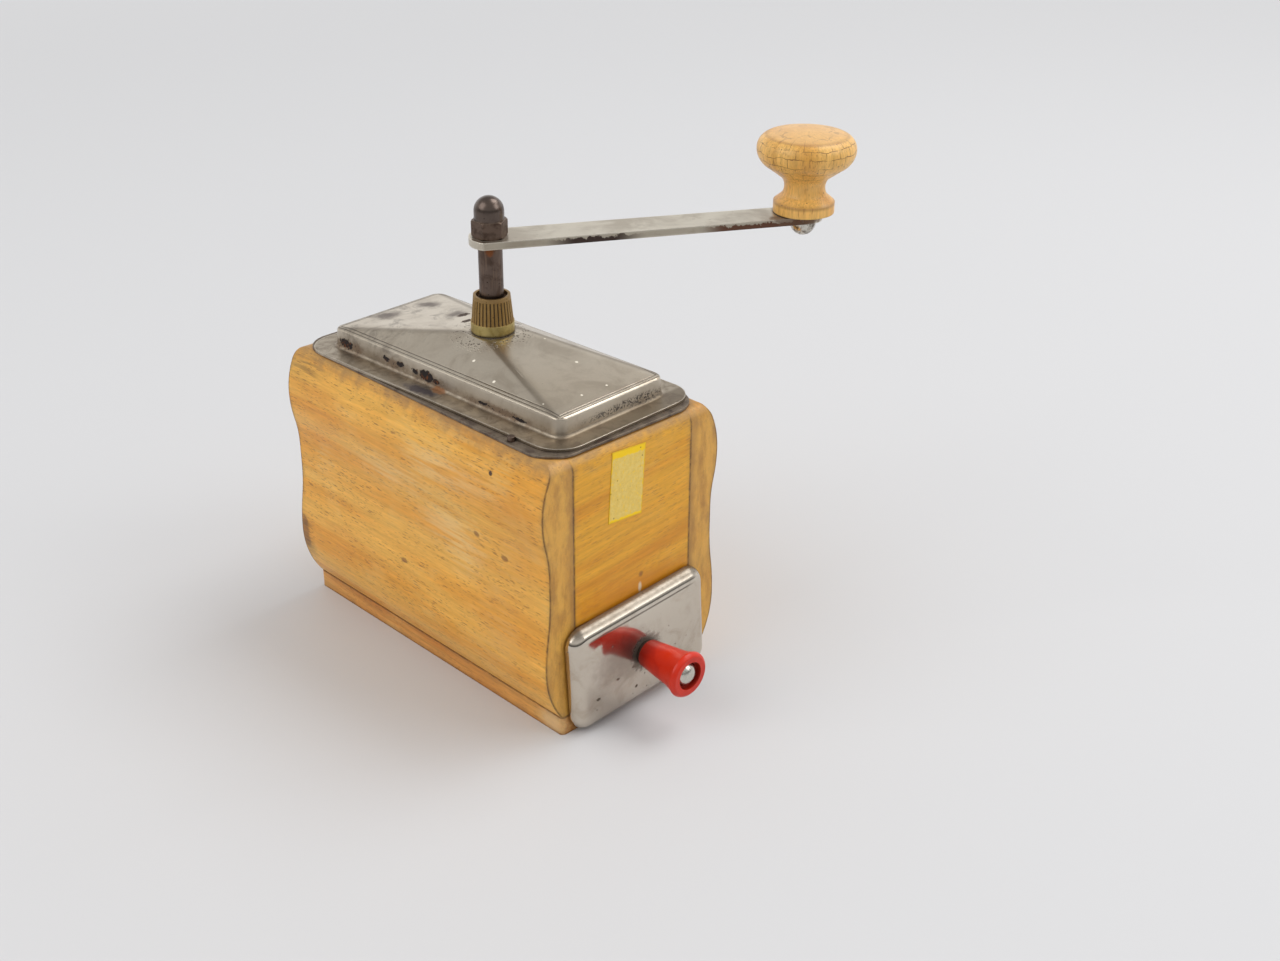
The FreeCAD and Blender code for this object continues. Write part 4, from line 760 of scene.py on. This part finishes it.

# %% [markdown]
# The works inside are plain zinc-grey steel and cast iron, with brown dust and painted shade in their
# corners and patches of rust. Cast iron has a pebbly skin, and the burrs' edges are bright where they rub.

# %% Steel and iron of the works
zinc = worn_metal("plain_steel", tone(150, 146, 140), tone(112, 104, 96), (0.36, 0.55), 5.0)
# Dust and painted shade: brown in the corners, where other parts stand close.
zinc.lay(zinc.times(zinc.corners(3.0), 0.6), tone(86, 62, 42), 0.85, 0.1)
zinc.lay(zinc.times(zinc.step(zinc.clouds(2.0, 5.0, 0.7), 0.58, 0.7), 0.6), tone(104, 68, 42), 0.85, 0.2)
works = [sub["node"] for sub in frame["record"]["subparts"] if sub["material_slot"] == "plain_steel"]
dress(zinc.done(), *works)

iron = worn_metal("cast_iron", tone(94, 90, 86), tone(62, 57, 53), (0.50, 0.70), 4.0)
pebbles = iron.dots(0.7)
iron.relief(pebbles, 0.05)
iron.lay(iron.times(iron.edges(0.5), 0.5), tone(156, 150, 142), 0.35)
iron.lay(iron.times(iron.step(iron.clouds(1.8, 4.0), 0.55, 0.7), 0.6), tone(96, 66, 40), 0.9, 0.0)
dress(iron.done(), "outer_burr", "inner_burr")
print(len(works), "steel pieces in the works")

# %% [markdown]
# The drawer's front was pressed from nickelled sheet: a shallow pan with rolled edges, its face swelled a
# little so that it looks full. A block gets round corners from a bevel. Its rolled edge is wider than it is
# deep, which a bevel can't give, so the face is inset again and again, each time a little further in and a
# little less far out, round a quarter of an ellipse.

# %% Press the drawer's front
def select_where(test, kind="VERT"):
    """In edit mode, select what passes the test."""
    bpy.ops.mesh.select_mode(type=kind)
    bpy.ops.mesh.select_all(action="DESELECT")
    bpy.ops.object.mode_set(mode="OBJECT")
    mesh = bpy.context.object.data
    for item in {"VERT": mesh.vertices, "EDGE": mesh.edges, "FACE": mesh.polygons}[kind]:
        item.select = test(item, mesh)
    bpy.ops.object.mode_set(mode="EDIT")


def edge_run(edge, mesh):
    """The way from an edge's first point to its last."""
    first, last = (mesh.vertices[index].co for index in edge.vertices)
    return last - first


front_width, front_height, front_middle = 57.6 * mm, 36.9 * mm, 20.55 * mm
rim_y, face_y, crown_y = -65.3 * mm, -69.7 * mm, -70.5 * mm
front_corner, front_sheet, front_tilt = 5.8 * mm, 0.9 * mm, 3.5
roll_width, roll_depth, roll_steps = 4.4 * mm, 4.1 * mm, 9

bpy.ops.object.select_all(action="DESELECT")
bpy.ops.mesh.primitive_cube_add(size=1)
front = bpy.context.object
front.name = "pressed_front"
bpy.ops.object.mode_set(mode="EDIT")
bpy.ops.mesh.select_all(action="SELECT")
flange_depth = rim_y - face_y - roll_depth
bpy.ops.transform.resize(value=(front_width, flange_depth, front_height), center_override=(0, 0, 0))
bpy.ops.transform.translate(value=(0, rim_y - flange_depth / 2, front_middle))
select_where(lambda edge, mesh: abs(edge_run(edge, mesh).y) > 0.1 * mm, "EDGE")
bpy.ops.mesh.bevel(offset=front_corner, segments=10, affect="EDGES")
select_where(lambda face, mesh: face.normal.y > 0.9, "FACE")
bpy.ops.mesh.delete(type="FACE")
select_where(lambda face, mesh: face.normal.y < -0.9, "FACE")
for step in range(roll_steps):
    before, after = (math.pi / 2 * (step + more) / roll_steps for more in (0, 1))
    bpy.ops.mesh.inset(thickness=roll_width * (math.cos(before) - math.cos(after)),
                       depth=roll_depth * (math.sin(after) - math.sin(before)))
print("pan with", len(front.data.vertices), "points")

# %% [markdown]
# Cutting planes a millimetre apart make the face fine enough to bend smoothly. Its middle is then pulled out
# with a soft falloff, as a press would push it. The ridge that is pulled is a short line, so the swelling is
# longer than it is high, like the plate. A last smoothing of the face takes out the kinks that its mirror
# would show.

# %% Swell the face and give the sheet its thickness
cut_gap = 1.0 * mm
reach_x = front_width / 2 - roll_width
reach_z = front_height / 2 - roll_width
for axis, reach, centre in ((Vector((1, 0, 0)), reach_x, 0.0), (Vector((0, 0, 1)), reach_z, front_middle)):
    count = int(reach // cut_gap)
    for index in range(-count, count + 1):
        bpy.ops.mesh.select_all(action="SELECT")
        bpy.ops.mesh.bisect(plane_co=axis * (centre + index * cut_gap), plane_no=axis)
ridge = reach_x - reach_z
select_where(lambda spot, mesh: spot.co.y < face_y + 0.01 * mm and abs(spot.co.x) < ridge + 0.1 * mm
             and abs(spot.co.z - front_middle) < 0.1 * mm)
bpy.ops.transform.translate(value=(0, crown_y - face_y, 0), use_proportional_edit=True,
                            proportional_edit_falloff="SPHERE", proportional_size=reach_z + 0.6 * mm)
select_where(lambda spot, mesh: spot.co.y < face_y - 0.02 * mm)
bpy.ops.mesh.vertices_smooth(factor=0.5, repeat=12)
bpy.ops.mesh.select_all(action="SELECT")
bpy.ops.mesh.remove_doubles(threshold=0.001 * mm)
bpy.ops.mesh.normals_make_consistent(inside=False)
bpy.ops.transform.rotate(value=math.radians(front_tilt), orient_axis="Y",
                         center_override=(0, 0, front_middle))
bpy.ops.object.mode_set(mode="OBJECT")
sheet = front.modifiers.new("sheet", "SOLIDIFY")
sheet.thickness = front_sheet
sheet.offset = -1.0
bpy.ops.object.modifier_apply(modifier="sheet")
bpy.ops.object.shade_smooth_by_angle(angle=math.radians(40))
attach(front, "drawer")
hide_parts("drawer_plate")
spots = [vertex.co / mm for vertex in front.data.vertices]
for axis in range(3):
    reach = [round(pick(spot[axis] for spot in spots), 2) for pick in (min, max)]
    solid = [round(corner[axis] / mm, 2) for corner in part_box("drawer_plate")]
    print("XYZ"[axis], "front", reach, "CAD", solid, "mm")

# %% [markdown]
# This sheet has kept its mirror. It shows the red knob nearly sharp, under a thin veil of tarnish, a
# sprinkle of dark pits, and brown grime with painted shadow around the knob's foot. A greasy film lies on the
# upper roll, and its dark tone on the faces that point up also paints a dull reflection there. A dark line of
# painted reflection lies in the valley below it. A duller patch where fingers rub is darkened too, which
# paints shade into the knob's reflection. The valley runs along the tilted pan, so it is measured in the
# pan's own directions.

# %% Finish of the drawer's front
mirror = Finish("mirror_nickel", tone(204, 194, 180), metallic=1.0, centre=(0, 0, front_middle / mm))
veil = mirror.clouds(8.0, 5.0, 0.65, 0.7)
mirror.lay(mirror.step(veil, 0.45, 0.75), tone(186, 174, 158))
mirror.roughness = mirror.scale(mirror.step(veil, 0.4, 0.75), 0.09, 0.17)
mirror.relief(mirror.clouds(9.0, 2.0), 0.006)
pits = mirror.times(mirror.step(mirror.dots(3.2), 0.13, 0.07), mirror.step(mirror.clouds(9.0), 0.46, 0.56))
mirror.lay(mirror.times(pits, 0.65), tone(96, 86, 78), 0.5, 0.6)
square = mirror.add(mirror.times(mirror.x, mirror.x), mirror.times(mirror.z, mirror.z))
from_foot = mirror.add(mirror.math("SQRT", square), mirror.scale(mirror.clouds(1.6, 5.0), -2.2, 2.2))
# Grime and painted shadow: a dark brown ring around the knob's foot.
mirror.lay(mirror.times(mirror.step(from_foot, 7.4, 4.6), 0.8), tone(66, 54, 42), 0.7, 0.1)
small_marks = [((-12.1, -69.5, -4.9), (0.7, 3, 0.5)), ((-3.8, -69.5, -11.4), (0.6, 3, 0.6)),
               ((-20, -68.9, -9), (0.8, 3, 0.6)), ((-4.3, -70.0, -3.2), (1.6, 3, 1.0))]
mirror.lay(mirror.stains(small_marks, 0.8, 1.2, 0.4), tone(96, 84, 70), 0.45, 0.6)
upward = mirror.split(mirror.put("NewGeometry", output="Normal"))[2]
# Grease film and painted reflection: faces that point up are darkened, dulling what they mirror.
film_and_dull_reflection = mirror.times(mirror.step(upward, 0.45, 0.75), mirror.scale(mirror.clouds(2.0, 5.0, 0.7), 0.5, 1.0))
mirror.lay(mirror.times(film_and_dull_reflection, 0.9), tone(94, 84, 71), 0.45, 0.85)
tilt_up, tilt_across = math.cos(math.radians(front_tilt)), math.sin(math.radians(front_tilt))
pan_up = mirror.minus(mirror.times(mirror.z, tilt_up), mirror.times(mirror.x, tilt_across))
pan_across = mirror.add(mirror.times(mirror.x, tilt_up), mirror.times(mirror.z, tilt_across))
# Painted reflection: a dark line in the valley under the roll.
painted_valley_line = mirror.times(mirror.band(pan_up, 14.2, 14.7, 0.2), mirror.step(mirror.size(pan_across), 24.5, 19.0))
mirror.lay(mirror.times(painted_valley_line, mirror.scale(mirror.clouds(4.0, 3.0), 0.5, 1.0)), tone(70, 62, 54), 0.35, 0.6)
# A finger haze, darkened as well to paint shade into the knob's reflection.
finger_haze_and_shade = mirror.stain((-9.0, -70.0, 1.5), (11.0, 4.0, 7.0), 0.5, 3.0, 0.7)
mirror.lay(mirror.times(finger_haze_and_shade, 0.7), tone(140, 124, 112), 0.2, 0.9)
mirror.lay(mirror.times(mirror.edges(0.6), 0.4), tone(120, 104, 86), 0.4)
front.data.materials.clear()
front.data.materials.append(mirror.done())
print("front dressed in", mirror.material.name)

# %% [markdown]
# The drawer's knob is moulded in bright red plastic. It still shines, but its foot is darker, with grime and
# painted shade, its hollows hold painted shade, and fine scuffs have made the rim paler where fingers pull.

# %% Red knob
red = Finish("red_plastic", tone(208, 44, 12), centre=(0, 0, front_middle / mm), Specular_IOR_Level=0.35,
             Coat_Weight=0.12, Coat_Roughness=0.12)
swirl = red.clouds(7.0, 3.0, 0.5, 0.8)
red.lay(red.step(swirl, 0.4, 0.7), tone(190, 34, 8))
red.roughness = red.scale(red.clouds(2.5, 4.0), 0.24, 0.46)
# Grime and painted shade: darker towards the foot, where the knob meets the drawer.
red.lay(red.times(red.step(red.y, -78.0, -72.5), 0.6), tone(96, 16, 10), 0.4)
# Painted shade: darker red in the knob's hollows.
red.lay(red.times(red.corners(2.5), 0.6), tone(70, 14, 10), 0.5)
red.lay(red.times(red.edges(0.6), 0.25), tone(226, 96, 70), 0.35)
red.relief(red.clouds(1.4, 3.0), 0.008)
dress(red.done(), "drawer_knob")
print("drawer's knob dressed in", red.material.name)

# %% [markdown]
# A paper label is glued to the front panel. It is old paper with a yellow border, widest along the top and
# the bottom, a paler middle with yellow patches, rubbed edges and a few brown spots of damp.

# %% Paper label
label_turn = math.radians(-4.0)
label_centre = (-2.9, panel_face, 79.0)
paper = Finish("old_paper", tone(232, 198, 102), roughness=0.55, centre=label_centre, Specular_IOR_Level=0.3)
tilted = paper.put("Mapping", {0: paper.place, 2: (0, label_turn, 0)})
tilted_parts = paper.split(tilted)
across, up = tilted_parts[0], tilted_parts[2]
band_edge = paper.scale(paper.clouds(1.5, 4.0), -0.8, 0.8)
yellow_band = paper.either(paper.step(paper.add(paper.size(paper.add(up, 0.7)), band_edge), 9.9, 10.4),
                           paper.step(paper.add(paper.size(across), band_edge), 6.5, 6.8))
paper.tint(paper.clouds(0.5, 3.0), 0.85, 1.15)
paper.lay(paper.times(paper.step(paper.clouds(1.8, 4.0, 0.6), 0.45, 0.62), 0.4), tone(240, 214, 134))
paper.lay(paper.times(paper.step(paper.clouds(1.1, 4.0, 0.6), 0.55, 0.68), 0.7), tone(250, 206, 60))
paper.lay(paper.times(yellow_band, 0.95), tone(255, 210, 12))
rub = paper.either(paper.step(paper.size(up), 11.2, 11.7), paper.step(paper.size(across), 6.4, 6.9))
paper.lay(paper.times(rub, paper.scale(paper.clouds(1.0), 0.1, 0.7)), tone(190, 146, 56))
paper.lay(paper.times(paper.step(paper.dots(2.6), 0.14, 0.07), 0.7), tone(140, 98, 44))
paper.relief(paper.clouds(0.6, 4.0), 0.03)
dress(paper.done(), "label")
print("label turned by", round(math.degrees(label_turn), 1), "degrees")

# %% [markdown]
